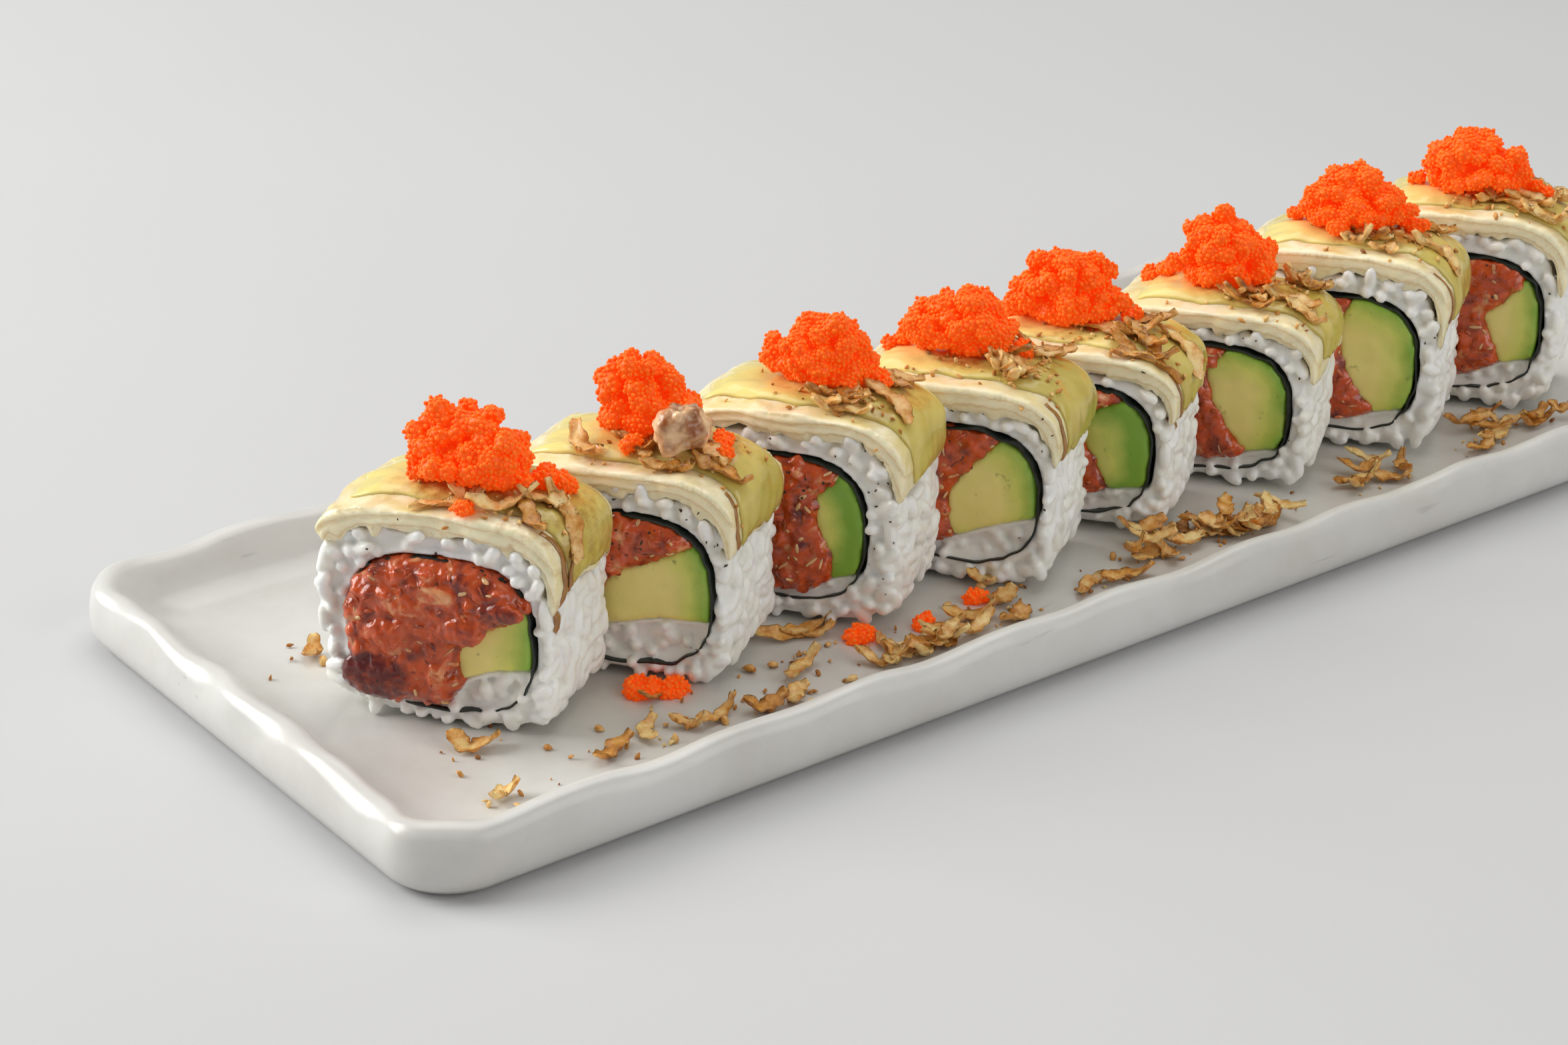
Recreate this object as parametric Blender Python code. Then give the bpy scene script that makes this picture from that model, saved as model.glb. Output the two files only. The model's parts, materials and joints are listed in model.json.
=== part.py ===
"""Eight slices of an inside-out sushi roll in a row on a long white ceramic dish.

Metres, +Z up. The origin is on the table under the middle of the dish, +X runs along the dish
and the row, and the cut faces that the eye sees first look towards -X and -Y.
"""
import math
import random

import bmesh
import bpy
from mathutils import Matrix, Vector
from mathutils.geometry import tessellate_polygon

MM = 0.001
GAP = 0.3 * MM

# Driving sizes of the dish
DISH_LENGTH = 347 * MM
DISH_WIDTH = 130 * MM
DISH_HEIGHT = 13.4 * MM
DISH_CORNER = 13 * MM
DISH_FLOOR = 4.5 * MM
RIM_WAVE = 0.8 * MM
RIM_WAVELENGTH = 31 * MM

# Driving sizes of a slice, seen on its cut face
SLICE_WIDTH = 43 * MM
SLICE_THICKNESS = 24 * MM
SLICE_ROUNDNESS = 4.4
FACE_TURN = math.radians(36)
ROLL_TURN = math.radians(32)
NORI_THICKNESS = 0.7 * MM
NORI_ROUNDNESS = 2.8
NORI_START = math.radians(-108)
NORI_END = math.radians(232)
FISH_THICKNESS = 4.4 * MM
AVOCADO_SHEET = 1.6 * MM
GRAIN = 0.45 * MM

# Places where the slices stand, measured along and across the dish from ROW_CORNER.
# rice: height of the rice block. loop: centre and half sizes of the seaweed loop.
# cut: line between tuna and avocado, from the top down. bed: top of the rice inside the loop,
# from left to right, whose point number `meet` is where the cut comes down. cut_angle and
# bed_angle: where the cut and the bed reach the loop, in degrees up from the right.
SLICES = [
    dict(place=(39.4, 54.3), rice=37.5, loop=(1.2, 17.6, 17.2, 14.6), cut_angle=24, bed_angle=-12,
         cut=[(10, 20.6), (4.2, 16.2), (3.8, 12.2)], bed=[(1.2, 4.6), (4.6, 9.4), (9.6, 11.6)], meet=1,
         bulge=2.4, roe=(2.0, -0.5, 11.6, 7.5, 12.4)),
    dict(place=(74.9, 51.1), rice=37, loop=(1.8, 17.6, 17.2, 14.6), cut_angle=40, bed_angle=-12,
         cut=[(7.4, 23.8), (0.6, 21.0), (-3.6, 16.0)], bed=[(-4.0, 9.4), (2.0, 11.0), (9.0, 12.6)], meet=0,
         bulge=1.2, roe=(0.2, 2.8, 8.8, 6.0, 13.5)),
    dict(place=(112.9, 50.1), rice=38.5, loop=(-0.4, 19.2, 16.2, 14.4), cut_angle=52, bed_angle=-28,
         cut=[(6.4, 26.6), (6.6, 20.0), (9.6, 14.6)], bed=[(-2.0, 6.6), (4.6, 7.0), (9.0, 9.6)], meet=2,
         bulge=1.0, roe=(2.0, 2.0, 10.5, 7.0, 11.2)),
    dict(place=(147.4, 46.1), rice=36.5, loop=(2.0, 18.3, 17.4, 13.8), cut_angle=62, bed_angle=-8,
         cut=[(5.0, 23.8), (1.8, 18.6), (1.6, 13.4)], bed=[(-3.0, 7.6), (3.0, 9.4), (11.0, 12.8)], meet=1,
         bulge=1.0, roe=(-1.0, 2.0, 10.5, 7.0, 10.7)),
    dict(place=(181.9, 50.6), rice=33.5, loop=(1.8, 17.0, 16.8, 13.4), cut_angle=56, bed_angle=-24,
         cut=[(5.4, 25.2), (4.0, 20.4), (7.4, 14.4)], bed=[(-4.0, 5.6), (3.0, 6.8), (10.0, 9.0)], meet=2,
         bulge=0.8, roe=(-3.4, 1.0, 10.5, 7.0, 13.2)),
    dict(place=(219.4, 49.1), rice=33.5, loop=(1.4, 16.6, 16.4, 13.2), cut_angle=84, bed_angle=-30,
         cut=[(0.4, 25.0), (1.6, 19.0), (5.4, 12.0)], bed=[(-4.0, 5.2), (3.4, 5.8), (9.4, 7.4)], meet=2,
         bulge=0.8, roe=(0.0, 1.5, 10.5, 7.0, 12.7)),
    dict(place=(253.4, 46.1), rice=39, loop=(1.2, 18.8, 16.6, 14.8), cut_angle=86, bed_angle=-30,
         cut=[(1.0, 28.0), (2.0, 21.4), (4.0, 15.0)], bed=[(-4.0, 5.8), (3.4, 6.4), (9.6, 8.6)], meet=2,
         bulge=0.8, roe=(-0.2, 1.0, 10.5, 7.0, 12.7)),
    dict(place=(290.4, 46.1), rice=39.5, loop=(1.6, 19.2, 17.2, 14.8), cut_angle=44, bed_angle=-22,
         cut=[(10.0, 24.2), (6.4, 21.4), (9.0, 15.0)], bed=[(-4.0, 6.6), (4.0, 7.6), (10.6, 10.8)], meet=2,
         bulge=0.8, roe=(0.0, 0.0, 11.0, 7.5, 11.7)),
]
ROW_CORNER = (-170 * MM, -64.2 * MM)

# The lump of cooked fish beside the second slice's roe: place on the slice, half sizes
MORSEL_SLICE = 2
MORSEL = (11.6, -6.2, 4.0, 3.8, 4.2)

# Fried shallot on the avocado sheet of each slice: how far along the sheet from its lower
# right end (0 to 1), depth behind the middle, length, turn in degrees and lift of the ends
TOP_SHALLOTS = [
    (0.30, 0.5, 13.0, 62, 1.0),
    (0.20, 4.0, 11.0, -68, 1.2),
    (0.12, 1.5, 9.0, 75, 0.6),
]

# Fried shallot that fell on the dish: place along and across it, length, turn in degrees;
# and the clumps of roe beside it: place and radius
DISH_SHALLOTS = [
    (29.8, 37.0, 9, -50), (47.8, 20.2, 11, 10), (57.3, 22.0, 8, 60), (63.6, 19.9, 7, -30),
    (70.0, 20.0, 12, 20), (79.0, 17.4, 9, -20), (86.1, 17.0, 8, 15), (92.0, 24.0, 13, 28),
    (102.3, 35.3, 10, -6), (106.5, 19.0, 10, -35), (115.0, 17.0, 9, 25), (111.5, 22.0, 8, 80),
    (123.0, 20.8, 12, 15), (131.0, 22.5, 11, -15), (137.9, 17.8, 8, 20), (140.5, 24.5, 8, 0),
    (157.7, 18.2, 10, 14), (165.9, 17.0, 12, -5), (176.0, 22.0, 12, 30), (179.0, 20.0, 9, 75),
    (193.4, 22.5, 11, 10), (198.1, 19.0, 12, -25), (204.3, 17.6, 9, 30), (208.5, 23.0, 8, 65),
    (234.7, 20.2, 12, 12), (241.0, 18.0, 8, -20), (268.0, 18.6, 10, 30), (275.5, 21.0, 13, 8),
    (286.5, 19.0, 9, -25), (24.1, 18.0, 6, 15), (24.3, 84.0, 6, 70), (312.0, 19.0, 8, 20),
]
DISH_ROE = [(65.0, 36.2, 3.6), (69.5, 32.5, 3.0), (109.0, 28.4, 3.0), (122.1, 25.4, 2.4), (137.0, 27.5, 2.2)]

COLOURS = {
    "ceramic": (0.86, 0.85, 0.83, 0.30),
    "rice": (0.80, 0.82, 0.79, 0.45),
    "nori": (0.012, 0.020, 0.016, 0.40),
    "tuna": (0.36, 0.045, 0.014, 0.25),
    "avocado": (0.56, 0.58, 0.16, 0.40),
    "fish": (0.80, 0.72, 0.50, 0.35),
    "avocado_sheet": (0.62, 0.58, 0.20, 0.35),
    "roe": (0.92, 0.10, 0.010, 0.20),
    "morsel": (0.52, 0.30, 0.14, 0.30),
}

for old in list(bpy.data.objects):
    bpy.data.objects.remove(old, do_unlink=True)

parts = bpy.data.collections.new("uramaki_roll_on_dish")
bpy.context.scene.collection.children.link(parts)
chance = random.Random(8)


def material(name):
    """The material of one kind of food or of the dish."""
    found = bpy.data.materials.get(name)
    if found:
        return found
    red, green, blue, roughness = COLOURS[name]
    made = bpy.data.materials.new(name)
    made.use_nodes = True
    shader = made.node_tree.nodes["Principled BSDF"]
    shader.inputs["Base Color"].default_value = (red, green, blue, 1)
    shader.inputs["Roughness"].default_value = roughness
    return made


def superellipse(angle, half_width, half_height, roundness):
    """A point of a squarish ring, by its angle up from the right."""
    across = math.copysign(abs(math.cos(angle)) ** (2 / roundness), math.cos(angle))
    up = math.copysign(abs(math.sin(angle)) ** (2 / roundness), math.sin(angle))
    return half_width * across, half_height * up


def offset(points, distance, closed=True):
    """The same outline, moved outwards by the distance (inwards when it is negative)."""
    moved = []
    count = len(points)
    for index, point in enumerate(points):
        before = points[index - 1] if closed or index else point
        after = points[(index + 1) % count] if closed or index < count - 1 else point
        normals = []
        for start, end in ((before, point), (point, after)):
            along = Vector((end[0] - start[0], end[1] - start[1]))
            if along.length > 1e-9:
                normals.append(Vector((along.y, -along.x)).normalized())
        middle = (normals[0] + normals[-1]).normalized()
        reach = distance / max(0.45, middle.dot(normals[0]))
        moved.append((point[0] + middle.x * reach, point[1] + middle.y * reach))
    return moved


def caps(loops):
    """Triangles, by position in the loops laid end to end, that fill them."""
    return tessellate_polygon([[Vector((x, y, 0)) for x, y in loop] for loop in loops])


def body(name, kind, walls, frame, far_ends=None):
    """A closed body from one or more walls, each a list of rings of (across, depth, up) points.

    The first ring of every wall is in the front end and the last in the far end.
    """
    mesh = bpy.data.meshes.new(name)
    build = bmesh.new()
    rows = [[[build.verts.new(point) for point in ring] for ring in wall] for wall in walls]
    for wall in rows:
        for near, far in zip(wall, wall[1:]):
            for index, corner in enumerate(near):
                after = (index + 1) % len(near)
                build.faces.new((corner, far[index], far[after], near[after]))
    for end in (0, -1):
        verts = [vert for wall in rows for vert in wall[end]]
        flat = [[(vert.co.x, vert.co.z) for vert in wall[end]] for wall in rows]
        if far_ends == "flat_plan":
            flat = [[(vert.co.x, vert.co.y) for vert in wall[end]] for wall in rows]
        for corners in caps(flat):
            build.faces.new([verts[corner] for corner in corners])
    bmesh.ops.recalc_face_normals(build, faces=build.faces)
    build.transform(frame)
    build.to_mesh(mesh)
    build.free()
    made = bpy.data.objects.new(name, mesh)
    made.data.materials.append(material(kind))
    parts.objects.link(made)
    return made


def fuse(target, pieces):
    """Join the pieces to the target as one body."""
    group = bpy.data.collections.new("fused")
    bpy.context.scene.collection.children.link(group)
    for piece in pieces:
        parts.objects.unlink(piece)
        group.objects.link(piece)
    union = target.modifiers.new("fuse", "BOOLEAN")
    union.operation = "UNION"
    union.operand_type = "COLLECTION"
    union.collection = group
    union.solver = "EXACT"
    bpy.context.view_layer.update()
    graph = bpy.context.evaluated_depsgraph_get()
    joined = bpy.data.meshes.new_from_object(target.evaluated_get(graph))
    target.modifiers.clear()
    target.data = joined
    for piece in pieces:
        bpy.data.objects.remove(piece, do_unlink=True)
    bpy.data.collections.remove(group)


def strip(name, kind, length, width, thickness, bend, frame):
    """A bent flat strip along its own X, thinner at both ends."""
    rings = []
    for step in range(4):
        along = step / 3 - 0.5
        slim = 1 - 1.2 * along * along
        rise = bend * along * along * 4
        sway = 0.6 * MM * math.sin(along * 7)
        half = width / 2 * slim
        rings.append([
            (along * length, sway - half, rise),
            (along * length, sway, rise - thickness * 0.35),
            (along * length, sway + half, rise),
            (along * length, sway, rise + thickness * 0.65),
        ])
    mesh = bpy.data.meshes.new(name)
    build = bmesh.new()
    rows = [[build.verts.new(point) for point in ring] for ring in rings]
    for near, far in zip(rows, rows[1:]):
        for index in range(4):
            after = (index + 1) % 4
            build.faces.new((near[index], near[after], far[after], far[index]))
    build.faces.new(rows[0])
    build.faces.new(list(reversed(rows[-1])))
    bmesh.ops.recalc_face_normals(build, faces=build.faces)
    build.transform(frame)
    build.to_mesh(mesh)
    build.free()
    made = bpy.data.objects.new(name, mesh)
    made.data.materials.append(material(kind))
    parts.objects.link(made)
    return made


# The dish: one closed body of rounded oblong sections, from the foot up the outside, over the
# rounded rim and down to the flat floor, its rim rising and falling as hand-shaped clay does

DISH_SECTION = [
    (5.0, 0.0), (0.8, 2.2), (0.0, 6.5), (0.6, 11.2), (2.8, 13.4), (5.2, 12.4), (9.5, 7.2), (15.5, 4.5),
]


def oblong(inset):
    """The dish's outline in plan, moved inwards, and how far along the edge each point is."""
    half_x = DISH_LENGTH / 2 - inset
    half_y = DISH_WIDTH / 2 - inset
    radius = max(4 * MM, DISH_CORNER - inset * 0.6)
    points = []
    for corner, (side_x, side_y) in enumerate(((1, 1), (-1, 1), (-1, -1), (1, -1))):
        centre = (side_x * (half_x - radius), side_y * (half_y - radius))
        for step in range(6):
            angle = math.radians(90 * corner + 18 * step)
            points.append((centre[0] + radius * math.cos(angle), centre[1] + radius * math.sin(angle)))
        long_side = corner in (0, 2)
        count = 23 if long_side else 8
        start = points[-1]
        following = ((-1, 1), (-1, -1), (1, -1), (1, 1))[corner]
        if long_side:
            end = (following[0] * (half_x - radius), start[1])
        else:
            end = (start[0], following[1] * (half_y - radius))
        for step in range(1, count):
            share = step / count
            points.append((start[0] + (end[0] - start[0]) * share, start[1] + (end[1] - start[1]) * share))
    return points


def dish():
    edge = oblong(0)
    travelled = [0]
    for start, end in zip(edge, edge[1:]):
        travelled.append(travelled[-1] + math.dist(start, end))
    rings = []
    for inset, height in DISH_SECTION:
        share = max(0, (height * MM - 6 * MM) / (DISH_HEIGHT - 6 * MM))
        ring = []
        for (x, y), along in zip(oblong(inset * MM), travelled):
            wave = math.sin(2 * math.pi * along / RIM_WAVELENGTH) + 0.6 * math.sin(along / (9.5 * MM))
            ring.append((x, y, height * MM + share * (wave - 1.0) * RIM_WAVE * 0.6))
        rings.append(ring)
    return body("dish", "ceramic", [rings], Matrix.Identity(4), "flat_plan")


# A slice: the block of rice with the seaweed loop in it, the fillings inside the loop and the
# toppings over it, all shaped on the cut face and carried through along the roll


def ring_point(slice_, angle, grow=0.0):
    """A point of the seaweed loop, whose mid-line grows by the distance."""
    centre_x, centre_y, half_width, half_height = (value * MM for value in slice_["loop"])
    x, y = superellipse(angle, half_width + grow, half_height + grow, NORI_ROUNDNESS)
    return centre_x + x, centre_y + y


def arc(slice_, start, end, grow=0.0):
    """Points of the seaweed loop from one angle up to another, in shared steps of 15 degrees."""
    step = math.radians(15)
    first = math.floor(start / step + 1.3)
    last = math.ceil(end / step - 1.3)
    angles = [start] + [number * step for number in range(first, last + 1)] + [end]
    return [ring_point(slice_, angle, grow) for angle in angles]


def fillings(slice_):
    """Outlines on the cut face of the tuna, the avocado and the hole in the rice."""
    half_gap = GAP / 2
    inside = -(NORI_THICKNESS + GAP) / 2
    spread = math.radians(2)
    cut_angle = math.radians(slice_["cut_angle"])
    bed_angle = math.radians(slice_["bed_angle"])
    cut = [(x * MM, y * MM) for x, y in slice_["cut"]]
    bed = [(x * MM, y * MM) for x, y in slice_["bed"]]
    meet = slice_["meet"]
    tuna = arc(slice_, cut_angle, NORI_END + spread, inside) + bed[:meet + 1] + cut[::-1]
    avocado = arc(slice_, bed_angle, cut_angle, inside) + cut + bed[meet:]
    outer = arc(slice_, NORI_START - spread, NORI_END + spread, -inside)
    inner = arc(slice_, NORI_START - spread, bed_angle, inside)[::-1]
    hole = outer + [ring_point(slice_, NORI_END + spread, inside)] + bed + inner
    return offset(tuna, -half_gap), offset(avocado, -half_gap), offset(hole, half_gap)


def skin(slice_, count=40):
    """The outline of the rice on the cut face, without the grains."""
    half_height = slice_["rice"] * MM / 2
    points = []
    for number in range(count):
        angle = 2 * math.pi * number / count
        x, y = superellipse(angle, SLICE_WIDTH / 2, half_height, SLICE_ROUNDNESS)
        low = max(0, 1 - (half_height + y) / (8 * MM))
        points.append((x * (1 + 0.05 * low), half_height + y))
    return points


COVERED = range(1, 17)
SHEET = range(2, 14)


def rice(slice_, name, frame, hole):
    """The rice block: whole grains stand out of it wherever no topping lies on it."""
    outline = skin(slice_)
    half = SLICE_THICKNESS / 2
    rings = []
    for row, depth in enumerate((-half, -half / 3, half / 3, half)):
        swell = 0 if row in (0, 3) else 0.4 * MM
        moved = offset(outline, swell)
        ring = []
        for index, (x, y) in enumerate(outline):
            lift = 0.0
            if index not in COVERED:
                x, y = moved[index]
                lift = chance.uniform(-GRAIN, GRAIN)
            out = Vector((x, y - slice_["rice"] * MM / 2)).normalized()
            ring.append((x + out.x * lift, depth + chance.uniform(-0.6, 0.6) * GRAIN, max(0, y + out.y * lift)))
        rings.append(ring)
    inner = [[(x, depth, y) for x, y in hole] for depth in (-half, half)]
    return body(f"{name}_rice", "rice", [rings, inner], frame)


def nori(slice_, name, frame):
    """The sheet of seaweed, rolled into a loop that stays open at the lower left."""
    half = SLICE_THICKNESS / 2 - 0.3 * MM
    outer = arc(slice_, NORI_START, NORI_END, NORI_THICKNESS / 2)
    inner = arc(slice_, NORI_START, NORI_END, -NORI_THICKNESS / 2)[::-1]
    rings = [[(x, depth, y) for x, y in outer + inner] for depth in (-half, half)]
    return body(f"{name}_nori", "nori", [rings], frame)


def tuna(slice_, name, frame, outline):
    """Minced tuna, swelling a little out of both cut faces."""
    half = SLICE_THICKNESS / 2
    bulge = slice_["bulge"] * MM
    core = offset(outline, -1.5 * MM)
    rings = [
        [(x, -half - bulge * chance.uniform(0.6, 1.0), y) for x, y in core],
        [(x, -half + 0.2 * MM, y) for x, y in outline],
        [(x, half - 0.2 * MM, y) for x, y in outline],
    ]
    return body(f"{name}_tuna", "tuna", [rings], frame)


def avocado(name, frame, outline):
    """The stick of avocado that runs through the roll."""
    half = SLICE_THICKNESS / 2 - 0.1 * MM
    rings = [[(x, depth, y) for x, y in outline] for depth in (-half, half)]
    return body(f"{name}_avocado", "avocado", [rings], frame)


def draped(name, kind, path, thickness, depths, frame):
    """A soft sheet that follows a path over the slice, thin at both of its ends."""
    count = len(path)
    rings = []
    for depth, fullness in depths:
        top = []
        for index, (point, far) in enumerate(zip(path, offset(path, thickness, closed=False))):
            share = index / (count - 1)
            full = fullness * min(1, 0.35 + 3 * share, 0.8 + 2 * (1 - share))
            top.append((point[0] + (far[0] - point[0]) * full, point[1] + (far[1] - point[1]) * full))
        ring = [(x, depth, y) for x, y in top] + [(x, depth, y) for x, y in path[::-1]]
        rings.append(ring)
    return body(name, kind, [rings], frame)


def over_rice(slice_, indexes, lift):
    """The path over the rice at a height above it, from right to left."""
    outline = offset(skin(slice_), lift)
    return [outline[index] for index in indexes]


def fish(slice_, name, frame):
    """The slice of seared white fish draped over the top and down the right side."""
    half = SLICE_THICKNESS / 2
    depths = [(-half - 0.6 * MM, 0.78), (0, 1.0), (half + 0.3 * MM, 0.82)]
    path = over_rice(slice_, COVERED, GAP)
    return draped(f"{name}_fish", "fish", path, FISH_THICKNESS, depths, frame)


def avocado_sheet(slice_, name, frame):
    """The thin slice of avocado over the fish and down its right side, with fried shallot on it."""
    half = SLICE_THICKNESS / 2
    depths = [(-half + 4.5 * MM, 0.8), (half - 0.6 * MM, 0.9)]
    path = over_rice(slice_, SHEET, FISH_THICKNESS + 2 * GAP)
    made = draped(f"{name}_avocado_slice", "avocado_sheet", path, AVOCADO_SHEET, depths, frame)
    outside = offset(path, AVOCADO_SHEET * 0.6, closed=False)
    pieces = []
    for number, (share, depth, length, turn, lift) in enumerate(TOP_SHALLOTS):
        length += chance.uniform(-2, 2)
        turn += chance.uniform(-15, 15)
        first = int(share * (len(path) - 1))
        right, left = (Vector(outside[first + step]) for step in (0, 1))
        spot = right.lerp(left, share * (len(path) - 1) - first)
        lean = Matrix.Rotation(math.atan2(left.y - right.y, right.x - left.x), 4, "Y")
        spin = Matrix.Rotation(math.radians(turn), 4, "Z")
        place = Matrix.Translation((spot.x, depth * MM, spot.y))
        pieces.append(strip(f"shallot{number}", "avocado_sheet", length * MM, 2.6 * MM, 1.5 * MM, lift * MM,
                            frame @ place @ lean @ spin))
    fuse(made, pieces)
    return made


def roe(slice_, name, frame):
    """The heap of flying-fish roe, an uneven dome on the flat of the top."""
    across, depth, half_length, half_depth, height = (value * MM for value in slice_["roe"])
    top = slice_["rice"] * MM + FISH_THICKNESS + AVOCADO_SHEET + 3 * GAP
    count = 14
    rings = []
    for level, (reach, rise) in enumerate(((0.86, 0.0), (1.0, 0.28), (0.82, 0.66), (0.42, 0.94))):
        ring = []
        for number in range(count):
            angle = 2 * math.pi * number / count
            bump = 1 + (chance.uniform(-0.14, 0.14) if level else chance.uniform(-0.08, 0.08))
            lift = rise + (chance.uniform(-0.07, 0.07) if level else 0)
            ring.append((across + math.cos(angle) * half_length * reach * bump,
                         depth + math.sin(angle) * half_depth * reach * bump, top + height * lift))
        rings.append(ring)
    return body(f"{name}_roe", "roe", [rings], frame, "flat_plan")


def morsel(slice_, name, frame):
    """The lump of cooked fish that lies beside the roe."""
    across, depth, half_length, half_depth, half_height = (value * MM for value in MORSEL)
    top = slice_["rice"] * MM + FISH_THICKNESS + AVOCADO_SHEET + 3 * GAP + half_height
    count = 9
    rings = []
    for tilt in (-0.80, -0.25, 0.25, 0.80):
        reach = math.sqrt(1 - tilt * tilt)
        ring = []
        for number in range(count):
            angle = 2 * math.pi * number / count
            bump = chance.uniform(0.92, 1.08)
            ring.append((across + math.cos(angle) * half_length * reach * bump,
                         depth + math.sin(angle) * half_depth * reach * bump, top + half_height * tilt))
        rings.append(ring)
    return body(f"{name}_morsel", "morsel", [rings], frame, "flat_plan")


def slice_frame(slice_):
    """Carries a point of the cut face and its depth to the slice's place on the dish."""
    along, across = slice_["place"]
    place = (ROW_CORNER[0] + along * MM, ROW_CORNER[1] + across * MM, DISH_FLOOR + GAP)
    return Matrix((
        (math.sin(FACE_TURN), math.cos(ROLL_TURN), 0, place[0]),
        (-math.cos(FACE_TURN), math.sin(ROLL_TURN), 0, place[1]),
        (0, 0, 1, place[2]),
        (0, 0, 0, 1),
    ))


def slices():
    for number, slice_ in enumerate(SLICES, 1):
        name = f"slice{number}"
        frame = slice_frame(slice_)
        tuna_outline, avocado_outline, hole = fillings(slice_)
        rice(slice_, name, frame, hole)
        nori(slice_, name, frame)
        tuna(slice_, name, frame, tuna_outline)
        avocado(name, frame, avocado_outline)
        fish(slice_, name, frame)
        roe(slice_, name, frame)
        avocado_sheet(slice_, name, frame)
        if number == MORSEL_SLICE:
            morsel(slice_, name, frame)


def on_dish(along, across, height, turn):
    """The place of a thing that lies on the dish's floor."""
    spot = (ROW_CORNER[0] + along * MM, ROW_CORNER[1] + across * MM, DISH_FLOOR + height * MM)
    return Matrix.Translation(spot) @ Matrix.Rotation(math.radians(turn), 4, "Z")


def dish_crumbs(made):
    """Fallen shallot and roe, one body with the dish that they stick to."""
    pieces = []
    for number, (along, across, length, turn) in enumerate(DISH_SHALLOTS):
        frame = on_dish(along, across, 0.1, turn)
        pieces.append(strip(f"fallen{number}", "ceramic", length * MM, 2.8 * MM, 1.8 * MM, 1.0 * MM, frame))
    for number, (along, across, size) in enumerate(DISH_ROE):
        bpy.ops.mesh.primitive_ico_sphere_add(subdivisions=1, radius=size * MM)
        clump = bpy.context.active_object
        clump.name = f"clump{number}"
        for vertex in clump.data.vertices:
            vertex.co *= chance.uniform(0.85, 1.15)
            vertex.co.z *= 0.5
        clump.data.transform(on_dish(along, across, 0.6, 25))
        for owner in list(clump.users_collection):
            owner.objects.unlink(clump)
        parts.objects.link(clump)
        pieces.append(clump)
    fuse(made, pieces)


dish_crumbs(dish())
slices()
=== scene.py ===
# Looks of eight slices of an inside-out sushi roll on a long white dish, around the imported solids.
# Metres, in the solids' own frame: +X along the dish and the row, +Z up from the table.
import json
import math

import bpy
import numpy as np
from mathutils import Euler, Matrix, Vector, noise
from mathutils.bvhtree import BVHTree

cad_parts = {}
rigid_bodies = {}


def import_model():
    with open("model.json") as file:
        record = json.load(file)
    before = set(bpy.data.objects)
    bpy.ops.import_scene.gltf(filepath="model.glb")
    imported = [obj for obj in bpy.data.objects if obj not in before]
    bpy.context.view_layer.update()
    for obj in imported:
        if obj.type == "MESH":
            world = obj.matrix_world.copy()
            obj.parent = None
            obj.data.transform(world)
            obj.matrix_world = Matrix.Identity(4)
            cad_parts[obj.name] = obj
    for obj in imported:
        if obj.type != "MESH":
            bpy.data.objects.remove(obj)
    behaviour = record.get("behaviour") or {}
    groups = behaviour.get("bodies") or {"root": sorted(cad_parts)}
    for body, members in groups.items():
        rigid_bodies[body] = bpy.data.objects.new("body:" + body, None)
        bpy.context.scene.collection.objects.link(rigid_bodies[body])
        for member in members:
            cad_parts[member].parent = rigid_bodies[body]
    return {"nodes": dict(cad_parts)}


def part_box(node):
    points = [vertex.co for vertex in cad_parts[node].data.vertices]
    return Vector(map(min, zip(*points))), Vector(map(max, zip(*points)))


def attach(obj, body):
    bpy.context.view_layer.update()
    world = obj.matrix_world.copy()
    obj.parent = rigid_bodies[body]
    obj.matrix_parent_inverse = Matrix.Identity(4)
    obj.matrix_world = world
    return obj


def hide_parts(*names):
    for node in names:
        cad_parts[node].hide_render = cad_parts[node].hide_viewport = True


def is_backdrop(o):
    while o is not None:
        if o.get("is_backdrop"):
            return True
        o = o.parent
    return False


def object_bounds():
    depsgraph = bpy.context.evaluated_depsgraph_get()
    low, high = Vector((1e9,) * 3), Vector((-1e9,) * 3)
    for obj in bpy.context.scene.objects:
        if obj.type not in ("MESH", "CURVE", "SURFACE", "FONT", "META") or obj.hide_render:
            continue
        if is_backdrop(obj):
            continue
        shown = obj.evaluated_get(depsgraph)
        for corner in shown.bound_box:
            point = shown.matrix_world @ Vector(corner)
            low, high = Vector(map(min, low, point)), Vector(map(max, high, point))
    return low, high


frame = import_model()
cad_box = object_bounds()

# The dish: stoneware pressed in a mould, with a rim that was waved by hand while the clay was
# soft, under a white satin glaze. One skin runs up from the foot, over the rim and to the floor.

MM = 0.001
DISH_LENGTH = 347 * MM
DISH_WIDTH = 130 * MM
DISH_HEIGHT = 13.4 * MM
DISH_CORNER = 13 * MM
DISH_FLOOR = 4.5 * MM
RIM_WAVE = 0.8 * MM
RIM_WAVELENGTH = 31 * MM
RIPPLE_LENGTH = 9.5 * MM
WAVE_START = 6 * MM
DENT_LENGTH = 11 * MM
DENT_DEPTH = 0.7 * MM
# Distance in from the outermost edge and height, in mm, from the middle of the underside out,
# up the wall, over the rim and back in to the middle of the floor
DISH_PROFILE = [
    (60.0, 0.3), (30.0, 0.3), (8.0, 0.2), (5.0, 0.0), (2.2, 0.7), (0.8, 2.2), (0.15, 4.2), (0.0, 6.5),
    (0.15, 9.0), (0.6, 11.2), (1.4, 12.8), (2.8, 13.4), (4.1, 13.15), (5.2, 12.4), (7.2, 10.0), (9.5, 7.2),
    (12.0, 5.4), (15.5, 4.6), (22.0, 4.5), (36.0, 4.5), (52.0, 4.5), (61.0, 4.5),
]
CORNER_STEPS = 12
LONG_STEPS = 110
SHORT_STEPS = 34


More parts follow.
